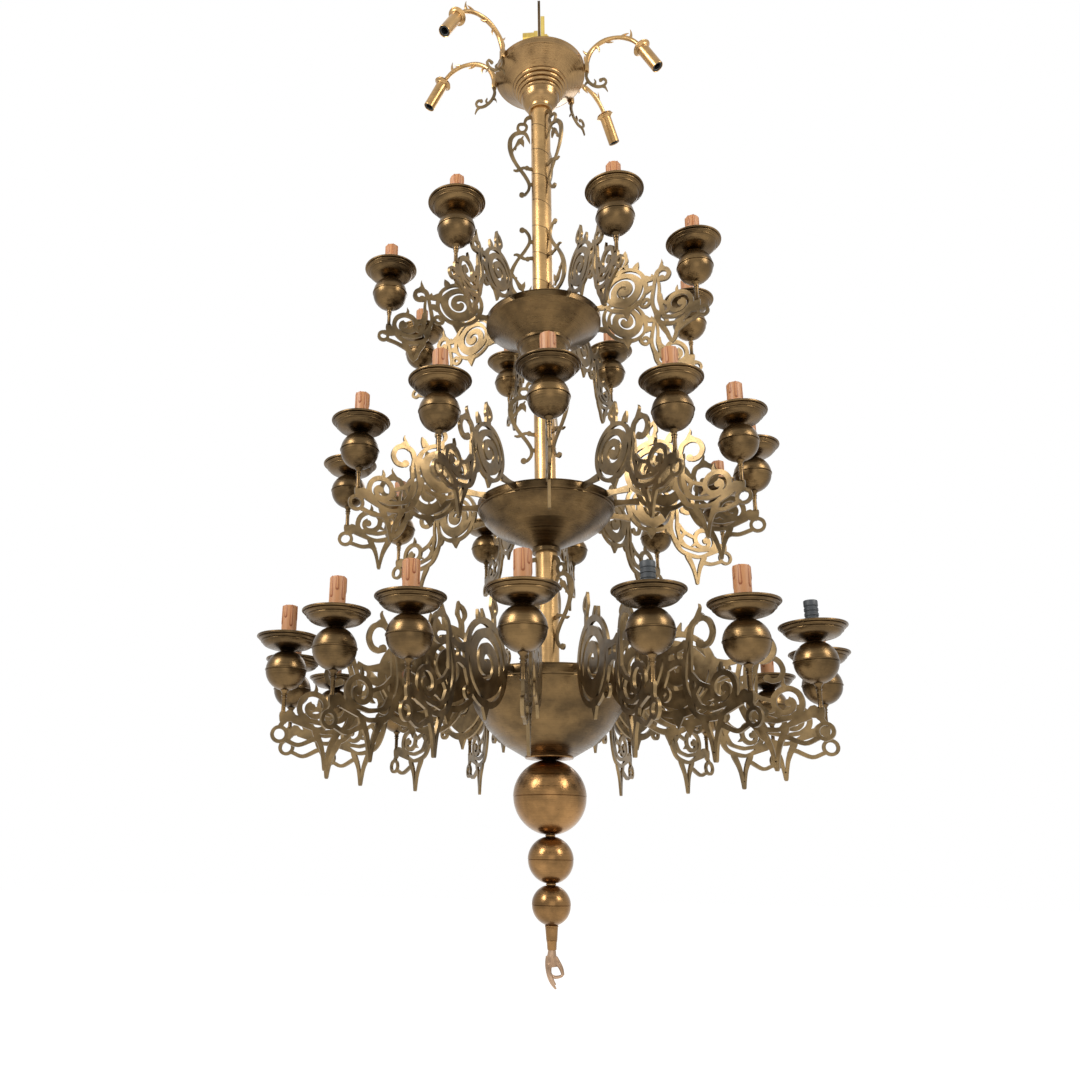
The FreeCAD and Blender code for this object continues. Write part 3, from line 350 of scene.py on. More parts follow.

# The dark line wound down the top tube is a painted reflection of the scrolls beside it.
REFLECTION_TURNS = 8
REFLECTION_WIDTH = 1.6
STEPS_A_TURN = 48
reflection_bottom, reflection_top = TUBES["stem_tube_1"]
reflection_steps = STEPS_A_TURN * REFLECTION_TURNS
line = bmesh.new()
edge = line.edges.new([
    line.verts.new(((TUBE_RADIUS + 0.12) * MM, 0, (reflection_bottom + rise) * MM)) for rise in (0, REFLECTION_WIDTH)])
bmesh.ops.spin(line, geom=edge.verts[:] + [edge], cent=(0, 0, 0), axis=(0, 0, -1),
               angle=2 * math.pi * REFLECTION_TURNS,
               dvec=(0, 0, (reflection_top - reflection_bottom - 2) * MM / reflection_steps), steps=reflection_steps)
bmesh.ops.recalc_face_normals(line, faces=line.faces)
bmesh.ops.solidify(line, geom=line.faces, thickness=0.3 * MM)
finish_piece("stem_tube_painted_reflection", line, "dark_brass")

# %% [markdown]
# ## Canopy and dishes
#
# The canopy is spun over a former: a banded edge, a smooth shoulder, four round ribs and a
# bell. The dishes are spun too, each with its own underside. Their tops are flat covers.

# %% Canopy
RIB_STEP, RIB_HEIGHT, RIB_COUNT = 5, 8, 4
SHOULDER_RADIUS, SHOULDER_LEVEL = 62, -232
BORE = 5.3
ribs = []
for rib in range(RIB_COUNT, 0, -1):
    lower = (SHOULDER_RADIUS - RIB_STEP * rib, SHOULDER_LEVEL - RIB_HEIGHT * rib)
    ribs += [(lower[0] + 1.5, lower[1]), (lower[0] + RIB_STEP - 0.5, lower[1] + RIB_HEIGHT, 125)]
canopy = lathe(
    [(BORE, -305), (26, -305), (27, -304), (27, -299), (26, -298), (24, -298), (26, -292, -20),
     (43, -265, 62)] + ribs
    + [(SHOULDER_RADIUS, SHOULDER_LEVEL), (98.5, -208), (100, -207), (101, -207), (102, -206), (102, -195.5),
       (101, -194), (BORE, -194)],
    sides=128)
canopy_brass = brass("canopy_brass", (0.33, 0.205, 0.09), (0.18, 0.112, 0.052), 0.27, RINGS)
finish_piece("canopy_spun", canopy, "brushed_brass", ["canopy"], paint=canopy_brass)
plate = lathe([(BORE, -194), (101, -194), (102, -193), (102, -191), (101, -190), (BORE, -190)],
              sides=128, closed=True)
finish_piece("canopy_top_plate", plate, "brushed_brass", ["canopy_plate"], paint=canopy_brass)

# %% Dishes
dish_1 = lathe([
    (BORE, -972), (26, -972), (27, -971), (27, -950), (30, -938, -20), (45, -914, -28), (47, -912.5),
    (49, -906), (51, -903.5, 60), (55, -903), (56, -898), (58, -896, 60), (60, -893), (116.5, -857.5),
    (118, -856), (119, -855),
    (119, -844.5), (118, -843), (BORE, -843)], sides=144)
finish_piece("dish_1_spun", dish_1, "dark_brass", ["dish_1"])
dish_2 = lathe([
    (BORE, -1355), (27, -1355), (28, -1354), (28, -1347), (26, -1345), (30, -1342), (94.5, -1311.5),
    (96, -1310),
    (130, -1273, 35), (131.5, -1271, 90), (131.5, -1269), (134, -1267, 90), (134, -1255.5), (133, -1254),
    (BORE, -1254)], sides=144)
finish_piece("dish_2_spun", dish_2, "dark_brass", ["dish_2"])
dish_3 = lathe([
    (BORE, -1742), (46, -1742), (149, -1621, 52), (150, -1619), (149.5, -1617), (152, -1615), (152.5, -1613),
    (152.5, -1602), (151.5, -1600), (BORE, -1600)], sides=160)
finish_piece("dish_3_spun", dish_3, "dark_brass", ["dish_3"])
for name, radius, level in (("dish_cover_1", 119, -843), ("dish_cover_2", 134, -1254),
                            ("dish_cover_3", 152.5, -1600)):
    cover = lathe([(BORE, level), (radius - 1, level), (radius, level + 1, 90), (radius - 1, level + 2, 90),
                   (BORE, level + 2)], sides=144, closed=True)
    finish_piece(name + "_edge", cover, "dark_brass", [name])

# %% [markdown]
# ## The finial
#
# Each ball is two spun cups joined at the middle, which leaves a fine seam. Narrow turned
# collars hold the balls apart. Under them hang a cuff and a hand.

# %% Finial balls
NECK = 11
BOWL_BOTTOM = -1748
COLLAR_HEIGHT = 4


def seamed_ball(radius, seam):
    """A ball of two cups: the upper one laps over the lower by a hair."""
    half = math.sqrt(radius ** 2 - NECK ** 2)
    turn = math.degrees(math.atan2(half, NECK)) - 1.0
    return lathe([(0, -half), (NECK, -half), (radius - seam, -0.6, turn), (radius - seam - 0.5, 0),
                  (radius, 0.5), (NECK, half, turn), (0, half)], sides=96, step=5), half


level = BOWL_BOTTOM
for number, radius in ((1, 65.7), (2, 40.3), (3, 34.0)):
    ball, half = seamed_ball(radius, 0.4)
    bmesh.ops.translate(ball, verts=ball.verts, vec=(0, 0, (level - half) * MM))
    finish_piece("finial_ball_%d_spun" % number, ball, "finial_brass", ["finial_ball_%d" % number])
    level = level - half * 2 - COLLAR_HEIGHT
disc = lathe([(BORE, BOWL_BOTTOM), (22, BOWL_BOTTOM), (43, -1745.5), (44, -1744.5), (44, -1743),
              (43, -1742), (BORE, -1742)],
             sides=96, closed=True)
finish_piece("bowl_disc_turned", disc, "finial_brass", ["bowl_disc"])

# %% [markdown]
# ## The lamps
#
# There are thirty-six lamps. From below, each is a rod with a small turned foot, a ball of
# two cups with a lapped seam, a drip pan with a rolled rim over two steps, a lampholder, and
# a sleeve like a candle, which two lamps of the lowest tier lack. One lamp is made about the
# centre of its ball, then a copy goes to each arm.

# %% Where the lamps stand
LAMP_RINGS = {1: (323, -817), 2: (392, -1222), 3: (484, -1619)}
ARM_ANGLES = {
    1: (-165, -120, -75, -29, 24, 66, 104, 151),
    2: (-159, -124, -88, -58, -26, 1, 32, 59, 82, 112, 141, 171),
    3: (-158, -136, -113, -90, -67, -42, -24, -4, 17, 36, 60, 86, 114, 136, 158, 180),
}
BARE_ANGLES = (17, 60)


def lamp_places(tier, dressed=False):
    """A matrix for each lamp of a tier, and only the sleeved ones if asked."""
    radius, level = LAMP_RINGS[tier]
    for angle in ARM_ANGLES[tier]:
        if dressed and tier == 3 and angle in BARE_ANGLES:
            continue
        turned = Matrix.Rotation(math.radians(angle - 90), 4, "Z")
        yield turned @ Matrix.Translation((radius * MM, 0, level * MM))


def every_lamp(name, one, finish, node_name, dressed=False, paint=None):
    """Copies of one piece at the lamps of each tier, in place of the CAD node."""
    for tier in LAMP_RINGS:
        mesh = bmesh.new()
        for matrix in lamp_places(tier, dressed):
            add_copy(mesh, one, matrix)
        replaced = ["%s_%d" % (node_name, tier)] if node_name else []
        finish_piece("%s_%d" % (name, tier), mesh, finish, replaced, paint=paint)
    one.free()


# %% Balls, pans and rods
ball = lathe([
    (0, -33.7), (7.5, -33.7), (34.3, -1.8, 74.5), (33.7, -1.4), (33.7, -0.9), (35.2, -0.7), (35.4, 0.9, 40),
    (34.5, 1.7), (11.5, 32.5, 67.5), (0, 32.5)], sides=48, step=9)
every_lamp("lamp_balls_spun", ball, "dark_brass", "lamp_balls")

NECK_LEVEL = 32.53
pan = lathe([(across, up + NECK_LEVEL, *turn) for across, up, *turn in [
    (0, 0), (11.5, 0), (12.5, 1.2), (17, 3, -30), (33, 6.5), (40.5, 10, 25), (43.5, 13.8, 25), (44, 14.8),
    (46, 16.6, 120), (45.4, 18), (48, 19.8), (50, 21.8, 110), (49.4, 23), (51.5, 23), (53.2, 25, 110),
    (51.6, 27, 90), (49.5, 26.2), (46, 23, -30), (20, 13, 25), (0, 13)]], sides=56)
every_lamp("drip_pans_spun", pan, "dark_brass", "drip_pans")

rod = lathe([
    (0, -72), (4.5, -72), (4.2, -70), (3.6, -68), (3.6, -49), (4.6, -48), (4.6, -46.5), (3.8, -46),
    (3.8, -44), (5.2, -43.5), (5.2, -42), (4.2, -41.5), (6.5, -36, -50), (7.5, -34.5), (7.5, -33.7),
    (0, -33.7)], sides=20)
every_lamp("stem_rods_turned", rod, "dark_brass", "stem_rods")

# %% [markdown]
# ## Sleeves, drips and lampholders
#
# Each lampholder is a ribbed moulding with an open top, and a sleeve slides over it. The
# sleeve is cast with runs of wax down its side, whose edges are painted brown. A run is a
# stretched ball with its upper half pulled up to the sleeve's edge. A slightly larger brown
# one behind it shows as the painted edge. They are many, so each has only a few faces.

# %% Sleeves
FLOOR = 45.57
SLEEVE_RADIUS = 13
SLEEVE_TOP = 113.57
sleeve = lathe([
    (11.8, FLOOR), (SLEEVE_RADIUS, FLOOR), (SLEEVE_RADIUS, SLEEVE_TOP - 2.5), (10.9, SLEEVE_TOP, 80),
    (10.2, SLEEVE_TOP - 1), (11.8, SLEEVE_TOP - 6)], sides=32, closed=True)
every_lamp("candle_sleeves_wax", sleeve, "wax_sleeve", "candle_sleeves", dressed=True)


# %% Runs of wax
def wax_run(mesh, angle, half_width, proud, top, bottom):
    """One run down the sleeve: a ball made long, round at its foot."""
    run = bmesh.ops.create_uvsphere(mesh, u_segments=8, v_segments=6, radius=1)["verts"]
    bmesh.ops.scale(mesh, verts=run, vec=(proud * MM, half_width * MM, half_width * 1.3 * MM))
    upper = [corner for corner in run if corner.co.z > 0.0001]
    bmesh.ops.translate(mesh, verts=upper, vec=(0, 0, (top - bottom) * MM))
    bmesh.ops.scale(mesh, verts=upper, vec=(1, 0.7, 1))
    place = Matrix.Rotation(math.radians(angle), 4, "Z")
    place @= Matrix.Translation((SLEEVE_RADIUS * MM, 0, bottom * MM))
    bmesh.ops.transform(mesh, matrix=place, verts=run)


WAX_RUNS = ((8, 30), (50, 19), (96, 34), (150, 22), (205, 31), (252, 17), (300, 27))
runs, edges = bmesh.new(), bmesh.new()
for angle, length in WAX_RUNS:
    wax_run(edges, angle, 3.0, 0.55, SLEEVE_TOP - 4, SLEEVE_TOP - length - 1)
    wax_run(runs, angle, 1.9, 1.0, SLEEVE_TOP - 4, SLEEVE_TOP - length)
every_lamp("wax_runs", runs, "wax_sleeve", None, dressed=True)
every_lamp("wax_run_edges", edges, "wax_sleeve", None, dressed=True, paint=drip_brown)

# %% Lampholders
HOLDER_TOP = FLOOR + 54
holder = lathe([
    (0, FLOOR), (10.4, FLOOR), (10.4, FLOOR + 5), (11, FLOOR + 6), (11, FLOOR + 24), (10.2, FLOOR + 25),
    (10.2, FLOOR + 28), (11, FLOOR + 29), (11, FLOOR + 33), (10.2, FLOOR + 34), (10.2, FLOOR + 36),
    (11, FLOOR + 37), (11, FLOOR + 41), (10.2, FLOOR + 42), (10.2, FLOOR + 44), (11, FLOOR + 45),
    (11, HOLDER_TOP - 1), (10.4, HOLDER_TOP), (8.1, HOLDER_TOP), (7.5, HOLDER_TOP - 1),
    (7.5, HOLDER_TOP - 24),
    (0, HOLDER_TOP - 24)], sides=28)
every_lamp("lampholders_ribbed", holder, "grey_lampholder", "lampholders")

# %% [markdown]
# ## Fretwork
#
# The arms are sawn from 5 mm brass plate. Such a plate is easiest to draw as a paper
# pattern: broad bands and discs laid over each other, then slots cut out of them. Blender
# has no flat boolean, but its Delaunay function splits overlapping shapes into triangles
# and says which shapes each triangle lies in. Those in metal and in no slot are kept,
# merged into few faces, and extruded to the plate's thickness.

# %% Bands and discs as flat shapes
LINE_STEPS = 6


def smooth_line(points):
    """A smooth line through the points, each across, up and wide."""
    knots = [Vector(point) for point in points]
    knots = [2 * knots[0] - knots[1]] + knots + [2 * knots[-1] - knots[-2]]
    line = []
    for before, start, end, after in zip(knots, knots[1:], knots[2:], knots[3:]):
        line += interpolate_bezier(start, start + (end - before) / 6, end - (after - start) / 6, end,
                                   LINE_STEPS)[:-1]
    return line + [knots[-2]]


def band(points):
    """Triangles along a smooth line that changes its width."""
    line = smooth_line(points)
    edges = []
    for before, here, after in zip(line[:1] + line, line, line[1:] + line[-1:]):
        along = (after - before).to_2d().normalized()
        aside = Vector((-along.y, along.x)) * max(here.z, 0.4) / 2
        edges.append((here.to_2d() + aside, here.to_2d() - aside))
    shapes = []
    for (left, right), (next_left, next_right) in zip(edges, edges[1:]):
        shapes += [(left, right, next_right), (left, next_right, next_left)]
    return shapes


def disc(x, z, radius):
    """One round shape, with more sides if it is large."""
    sides = 96 if radius > 20 else 24
    turns = [2 * math.pi * number / sides for number in range(sides)]
    return [tuple(Vector((x + radius * math.cos(turn), z + radius * math.sin(turn))) for turn in turns)]


def turned_left(shapes):
    """Each shape counter-clockwise, as the Delaunay function needs, and no slivers."""
    kept = []
    for shape in shapes:
        sides = list(zip(shape, shape[1:] + shape[:1]))
        area = sum(start.cross(end) for start, end in sides)
        longest = max((start - end).length_squared for start, end in sides)
        if abs(area) > 0.01 + 0.004 * longest:
            kept.append(shape if area > 0 else shape[::-1])
    return kept


# %% From a flat drawing to a plate
def sawn_plate(metal, discs, cuts, thickness):
    """A plate on the XZ plane with its middle at Y = 0, from a drawing in millimetres."""
    solid = turned_left([shape for points in metal for shape in band(points)]
                        + [shape for circle in discs for shape in disc(*circle)])
    gone = turned_left([shape for points in cuts for shape in band(points)])
    corners, shapes = [], []
    for shape in solid + gone:
        shapes.append(list(range(len(corners), len(corners) + len(shape))))
        corners += shape
    points, _, triangles, _, _, inside = delaunay_2d_cdt(corners, [], shapes, 0, 0.0001, True)
    mesh = bmesh.new()
    corners = [mesh.verts.new((point.x * MM, -thickness / 2 * MM, point.y * MM)) for point in points]
    for triangle, origins in zip(triangles, inside):
        if origins and max(origins) < len(solid):
            mesh.faces.new([corners[number] for number in triangle])
    bmesh.ops.delete(mesh, geom=[corner for corner in mesh.verts if not corner.link_faces], context="VERTS")
    bmesh.ops.remove_doubles(mesh, verts=mesh.verts, dist=0.12 * MM)
    bmesh.ops.dissolve_limit(mesh, angle_limit=math.radians(2), verts=mesh.verts, edges=mesh.edges,
                             use_dissolve_boundaries=False)
    front = bmesh.ops.extrude_face_region(mesh, geom=mesh.faces[:], use_keep_orig=True)["geom"]
    bmesh.ops.translate(mesh, verts=[part for part in front if isinstance(part, bmesh.types.BMVert)],
                        vec=(0, thickness * MM, 0))
    bmesh.ops.triangulate(mesh, faces=mesh.faces)
    bmesh.ops.recalc_face_normals(mesh, faces=mesh.faces)
    return mesh


# %% [markdown]
# ## Drawing the arms
#
# An arm has a round panel that stands on the dish, a large open scroll with a hooked end,
# a snail curled inside it, a pendant point, and a small ring beside the lamp's rod. The
# three tiers share one drawing. Only the places and radii in the table differ. Across is
# counted from the lamp's rod and up from the middle of its ball.

# %% Curls and slots
PLATE_THICKNESS = 5
ARM_SIZES = {
    1: dict(foot=(-204, -32), panel=(-145, -8, 50), side=-92, bottom=-112, hook=(-47, 22), snail=(-34, -68),
            pendant=(-52, -150), loop=(10, -98, 12), bud=(-146, 82), nub=-118, spike=(-141, -74)),
    2: dict(foot=(-258, -38), panel=(-164, -8, 55), side=-123, bottom=-108, hook=(-61, 32), snail=(-44, -68),
            pendant=(-66, -163), loop=(2, -100, 15), bud=(-162, 87), nub=-127, spike=(-164, -76)),
    3: dict(foot=(-331.5, 11), panel=(-235, 4, 75), side=-133, bottom=-105, hook=(-60, 58), snail=(-50, -60),
            pendant=(-75, -165), loop=(4, -108, 15), bud=(-262, 125), nub=-209, spike=(-233, -90)),
}


def curl(x, z, radius, turns):
    """Points round (x, z), each from an angle, a share of the radius, and a width."""
    points = []
    for angle, share, width in turns:
        turn = math.radians(angle)
        points.append((x + radius * share * math.cos(turn), z + radius * share * math.sin(turn), width))
    return points


def crescent_slot(x, z, radius, first, last, width):
    """A slot round (x, z) that is pointed at both ends."""
    shares = (0, 0.7, 1, 1, 1, 0.7, 0)
    step = (last - first) / (len(shares) - 1)
    return curl(x, z, radius, [
        (first + step * number, 1, width * share) for number, share in enumerate(shares)])


def volute(x, z, radius, first, turns, inner, width):
    """A spiral of even width that ends close to its centre; fewer than 0 turns go clockwise."""
    steps = 16
    return curl(x, z, radius, [
        (first + 360 * turns * number / steps, 1 - (1 - inner) * number / steps,
         width * (1 if number else 0.5))
        for number in range(steps + 1)])


# %% The parts of an arm
def panel_drawing(size):
    """The round panel with its foot, bud, thorns, spike and little curl, and its slots."""
    px, pz, panel = size["panel"]
    foot_x, foot_z = size["foot"]
    bud_x, bud_top = size["bud"]
    spike_x, spike_tip = size["spike"]
    nub = size["nub"]
    metal = [
        [(foot_x, foot_z, 14), ((foot_x + px - panel) / 2, foot_z, 10), (px - panel + 8, foot_z, 14)],
        [(bud_x - 1, pz + 0.8 * panel, 12), (bud_x - 1, pz + panel + 2, 10), (bud_x, bud_top - 36, 11),
         (bud_x, bud_top - 24, 25), (bud_x + 3, bud_top - 14, 21), (bud_x + 7, bud_top - 6, 8),
         (bud_x + 8, bud_top, 1)],
        [(nub - 3, pz + 0.78 * panel, 14), (nub + 2, pz + 0.98 * panel, 10),
         (nub + 6, pz + 1.12 * panel, 0.5)],
        [(px + 0.1 * panel, pz + 0.86 * panel, 14), (px + 0.16 * panel, pz + 1.04 * panel, 8),
         (px + 0.22 * panel, pz + 1.18 * panel, 0.5)],
        [(spike_x, pz - 0.8 * panel, 34), (spike_x, pz - panel + 1, 20),
         (spike_x, (pz - panel + spike_tip) / 2, 9), (spike_x, spike_tip, 1)],
        volute(px + 0.74 * (panel + 9), pz - 0.67 * (panel + 9), 12, 135, 1.2, 0.3, 6.5),
    ]
    slot = 0.11 * panel
    cuts = [crescent_slot(px, pz, 0.81 * panel, first, last, slot)
            for first, last in ((104, 192), (22, 96), (-80, 2), (200, 272))]
    cuts += [
        volute(px, pz, 0.62 * panel, 200, -1.5, 0.12, slot),
        [(bud_x, bud_top - 35, 0), (bud_x, bud_top - 26, 9), (bud_x + 2, bud_top - 18, 8),
         (bud_x + 5, bud_top - 10, 0)],
    ]
    return metal, [(px, pz, panel)], cuts


def scroll_drawing(size):
    """The big scroll with its hook and point, the riser to the rod, and the slots along it."""
    px, pz, panel = size["panel"]
    right, top = size["hook"]
    side, bottom = size["side"], size["bottom"]
    tx = size["pendant"][0]
    hook = min((right - side - 10) / 2, 29)
    hx, hz, bend = right - hook, top - hook, hook - 4.5
    left, low = side + 11, bottom + 11
    rise = hz - low
    link = (px + panel + left) / 2
    metal = [
        [(hx - bend, hz, 10), (left + 3, low + 0.78 * rise, 17), (left, low + 0.5 * rise, 22),
         (left + 6, low + 0.25 * rise, 23), ((left + tx) / 2 - 3, low + 7, 23), (tx + 2, low, 22),
         (tx + 22, low + 4, 19), (-17, low + 13, 14)],
        curl(hx, hz, bend, [(180, 1, 10), (135, 1, 9), (90, 1, 9), (45, 1, 9), (0, 1, 9), (-40, 0.95, 9),
                            (-75, 0.8, 9), (-105, 0.62, 10)]),
        [(hx - 0.5 * bend, hz + 0.8 * bend, 9), (hx - 0.25 * bend, hz + bend + 1, 9),
         (hx - 0.1 * bend, top + 4, 6),
         (hx + 0.05 * bend, top + 12, 3), (hx, top + 18, 0)],
        [(hx + 0.45 * bend, hz + 0.85 * bend, 7), (hx + 0.15 * bend, top - 1, 7), (hx, top + 5, 2)],
        [(-19, low + 12, 13), (-10, low + 22, 11), (-2, -86, 11), (0, -78, 12), (0, -71.5, 11)],
        [(px + panel - 6, pz + 13, 16), (link, pz + 10, 10), (left, pz + 15, 14)],
        [(px + panel - 6, pz - 14, 16), (link, pz - 11, 10), (left, pz - 16, 14)],
    ]
    if side - (px + panel) > 10:
        metal.append([(link, pz + 12, 9), (link - 3, pz, 6), (link, pz - 12, 9)])
    blob = curl(hx, hz, bend, [(-105, 0.6, 0)])[0]
    cuts = [
        [(hx - bend + 1, hz - 6, 0), (left + 3, low + 0.74 * rise, 5), (left, low + 0.5 * rise, 6.5),
         (left + 3, low + 0.34 * rise, 6), (left + 8, low + 0.22 * rise, 0)],
        [(left + 11, low + 0.16 * rise, 0), ((left + tx) / 2 - 3, low + 7, 6.5), (tx + 2, low, 7),
         (tx + 16, low + 2, 5.5), (tx + 30, low + 7, 0)],
    ]
    return metal, [(blob[0], blob[1], 6.5)], cuts


def snail_drawing(size):
    """The snail, the lace beside it, the loop, the outer band and the pendant."""
    sx, sz = size["snail"]
    lx, lz, loop = size["loop"]
    tx, tip = size["pendant"]
    side, bottom = size["side"], size["bottom"]
    low = bottom + 11
    metal = [
        curl(sx, sz, 23, [(-75, 1.1, 12), (-35, 1.02, 10), (0, 1, 9), (40, 1, 9), (80, 1, 9), (120, 0.98, 9),
                          (160, 0.96, 9), (200, 0.88, 9), (240, 0.75, 9), (285, 0.6, 8), (330, 0.48, 8),
                          (375, 0.38, 8), (430, 0.28, 8)]),
        [(sx - 18, sz - 6, 9), (sx - 26, sz - 12, 5), (sx - 31, sz - 14, 1)],
        [(-16, low + 14, 11), (-4, low + 10, 9), (lx, lz + loop - 3, 8)],
        curl(lx, lz, loop - 3, [(angle, 1, 6) for angle in range(0, 391, 30)]),
        [(lx - 0.7 * loop, lz - 0.6 * loop, 7), (lx - 2.2 * loop, lz - 1.1 * loop, 7),
         (tx + 18, bottom - 8, 8),
         (tx + 8, bottom - 15, 9)],
        [(tx, tip + 14, 10), (tx, tip + 3, 7), (tx, tip, 4)],
    ]
    for way in (-1, 1):
        metal.append([(tx + way * 23, bottom + 14, 6), (tx + way * 18, bottom + 2, 11),
                      (tx + way * 10, bottom - 14, 9),
                      (tx + way * 5, bottom - 29, 7), (tx + way, tip + 4, 4.5)])
    web_left, web_right = side + 20, sx - 26
    if web_right - web_left > 5:
        web = (web_left + web_right) / 2 - 2
        metal += [
            [(web_left, sz + 30, 8), (web, sz + 14, 7), (web_right + 4, sz + 4, 7)],
            [(web_left + 2, sz - 4, 6), (web, sz + 14, 7)],
            [(sx, sz + 21, 8), (sx - 4, sz + 30, 6), (sx - 2, sz + 40, 0)],
        ]
    return metal, [(sx + 2, sz, 6)], [[(tx, bottom - 5, 13), (tx, bottom - 16, 9), (tx, bottom - 30, 0)]]


# %% Saw the arms
for tier, size in ARM_SIZES.items():
    metal, discs, cuts = [], [], []
    for drawing in (panel_drawing, scroll_drawing, snail_drawing):
        more_metal, more_discs, more_cuts = drawing(size)
        metal += more_metal
        discs += more_discs
        cuts += more_cuts
    one = sawn_plate(metal, discs, cuts, PLATE_THICKNESS)
    mesh = bmesh.new()
    for matrix in lamp_places(tier):
        add_copy(mesh, one, matrix)
    one.free()
    finish_piece("arm_plates_sawn_%d" % tier, mesh, "sawn_brass", ["arm_plates_%d" % tier])

# %% [markdown]
# ## Scrolls beside the stem
#
# Three thin scrolls stand off the tube under the canopy and under each of the two upper
# dishes, and three more stand on the top dish. They are sawn like the arms, from 4 mm
# plate. The drawing is in shares of the reach from the tube and of the height.

# %% Scrolls
SCROLL_THICKNESS = 4
SCROLL_REACH = 72
SCROLL_ANGLES = (-80, 40, 160)
SCROLL_LINES = (
    ((-0.02, 0.04, 9), (0.12, 0.05, 8), (0.24, 0.08, 7), (0.30, 0.13, 6)),
    ((0.30, 0.13, 6), (0.52, 0.14, 6), (0.60, 0.19, 6), (0.45, 0.235, 6), (0.26, 0.21, 6), (0.20, 0.16, 6),
     (0.30, 0.125, 6)),
    ((0.05, 0.36, 0), (0.12, 0.31, 5), (0.25, 0.25, 7), (0.45, 0.235, 8), (0.72, 0.26, 9), (0.92, 0.33, 10),
     (0.95, 0.42, 10), (0.86, 0.52, 8.5), (0.68, 0.61, 7), (0.48, 0.68, 7), (0.28, 0.75, 7), (0.12, 0.83, 7),
     (0.13, 0.90, 6.5), (0.27, 0.955, 6), (0.40, 0.97, 6)),
    ((0.86, 0.47, 6), (0.72, 0.42, 5), (0.60, 0.37, 8), (0.48, 0.335, 12), (0.40, 0.355, 9), (0.33, 0.40, 0)),
    ((0.52, 0.34, 8), (0.40, 0.30, 4), (0.36, 0.28, 3)),
    ((0.52, 0.67, 8), (0.66, 0.69, 5), (0.80, 0.685, 2)),
    ((0.50, 0.67, 7), (0.34, 0.65, 5), (0.20, 0.655, 6)),
    ((-0.02, 0.66, 8), (0.06, 0.66, 7), (0.20, 0.655, 6)),
    ((-0.02, 0.84, 8), (0.12, 0.84, 7)),
)
SCROLL_DISCS = ((0.43, 0.965, 6), (0.20, 0.65, 5), (0.72, 0.43, 3.5))


def stem_scroll(height, way):
    """A scroll whose root is at height 0, hanging if way is -1 and standing if it is 1."""
    lines = [[(TUBE_RADIUS + (SCROLL_REACH - TUBE_RADIUS) * out, way * height * along, width)
              for out, along, width in points] for points in SCROLL_LINES]
    balls = [(TUBE_RADIUS + (SCROLL_REACH - TUBE_RADIUS) * out, way * height * along, radius)
             for out, along, radius in SCROLL_DISCS]
    return sawn_plate(lines, balls, [], SCROLL_THICKNESS)


for name, height, way, level in (("hanging_scrolls_1", 228, -1, -310), ("standing_scrolls_1", 228, 1, -841),
                                 ("hanging_scrolls_2", 192, -1, -977), ("hanging_scrolls_3", 192, -1, -1360)):
    one = stem_scroll(height, way)
    mesh = bmesh.new()
    for angle in SCROLL_ANGLES:
        turned = Matrix.Rotation(math.radians(angle - 90), 4, "Z")
        add_copy(mesh, one, Matrix.Translation((0, 0, level * MM)) @ turned)
    one.free()
    finish_piece(name + "_sawn", mesh, "sawn_brass", [name])

# %% [markdown]
# ## Downlights
#
# Four branches rise from the edge of the canopy and bend down. Each carries two flared
# rings and a cup with a black lampholder. A branch is a curve with a round bevel, thicker
# in some places than in others, like a twig with buds. Its thorns are short curves that
# taper to nothing. Everything is built on the X axis and copied round.

# %% A twig from a curve
SPOT_ANGLES = (-50, -99, 82, 137)
FOOT_OUT = 107.2
FOOT_BOTTOM = -212


def twig(mesh, points, rounds=10):
    """Add a tapering round bar along a smooth line: each point is (x, y, z, radius)."""
    data = bpy.data.curves.new("twig", "CURVE")
    data.dimensions = "3D"
    data.bevel_depth = MM
    data.bevel_resolution = rounds // 4
    data.resolution_u = 6
    data.use_fill_caps = True
    spline = data.splines.new("NURBS")
    spline.points.add(len(points) - 1)
    for point, (x, y, z, radius) in zip(spline.points, points):
        point.co = (x * MM, y * MM, z * MM, 1)
        point.radius = radius
    spline.order_u = 3
    spline.use_endpoint_u = True
    made = bpy.data.objects.new("twig", data)
    scene.collection.objects.link(made)
    solid = bpy.data.meshes.new_from_object(made.evaluated_get(bpy.context.evaluated_depsgraph_get()))
    mesh.from_mesh(solid)
    bpy.data.objects.remove(made)
    bpy.data.meshes.remove(solid)


def round_the_lamp(name, one, finish, node_name, replace=True):
    """Copies of one piece at the four downlights."""
    mesh = bmesh.new()
    for angle in SPOT_ANGLES:
        add_copy(mesh, one, Matrix.Rotation(math.radians(angle - 90), 4, "Z"))
    one.free()
    finish_piece(name, mesh, finish, [node_name] if replace else [])


# %% Branches
PEAK = (169.1, -128)
RISE, FALL, DIP = 62, 66, 62
ARC_FOOT = PEAK[1] - RISE
branch_line = [(FOOT_OUT, -210, 5.2), (FOOT_OUT, -196, 6.2)]
for turn in range(0, 90, 18):
    angle = math.radians(180 - turn)
    branch_line.append((PEAK[0] + RISE * math.cos(angle), ARC_FOOT + RISE * math.sin(angle), 5.6 - turn / 90))
for turn in range(0, DIP + 1, 15):
    angle = math.radians(90 - turn)
    branch_line.append((PEAK[0] + FALL * math.cos(angle), PEAK[1] - FALL + FALL * math.sin(angle), 4.5))
BUDS = {3: 1.25, 6: 1.2, 9: 1.2}
branches = bmesh.new()
twig(branches, [
    (x, 0, z, radius * BUDS.get(number, 1)) for number, (x, z, radius) in enumerate(branch_line)],
    rounds=16)
THORNS = (
    ((108, -188), (101.5, -176), (103, -165)),
    ((113, -165), (104, -160), (100, -149)),
    ((151, -131), (159, -141), (170, -140)),
    ((130, -143), (139, -152), (136, -163)),
    ((207, -139), (212, -126), (208, -113)),
    ((187, -131), (196, -123), (205, -123)),
)
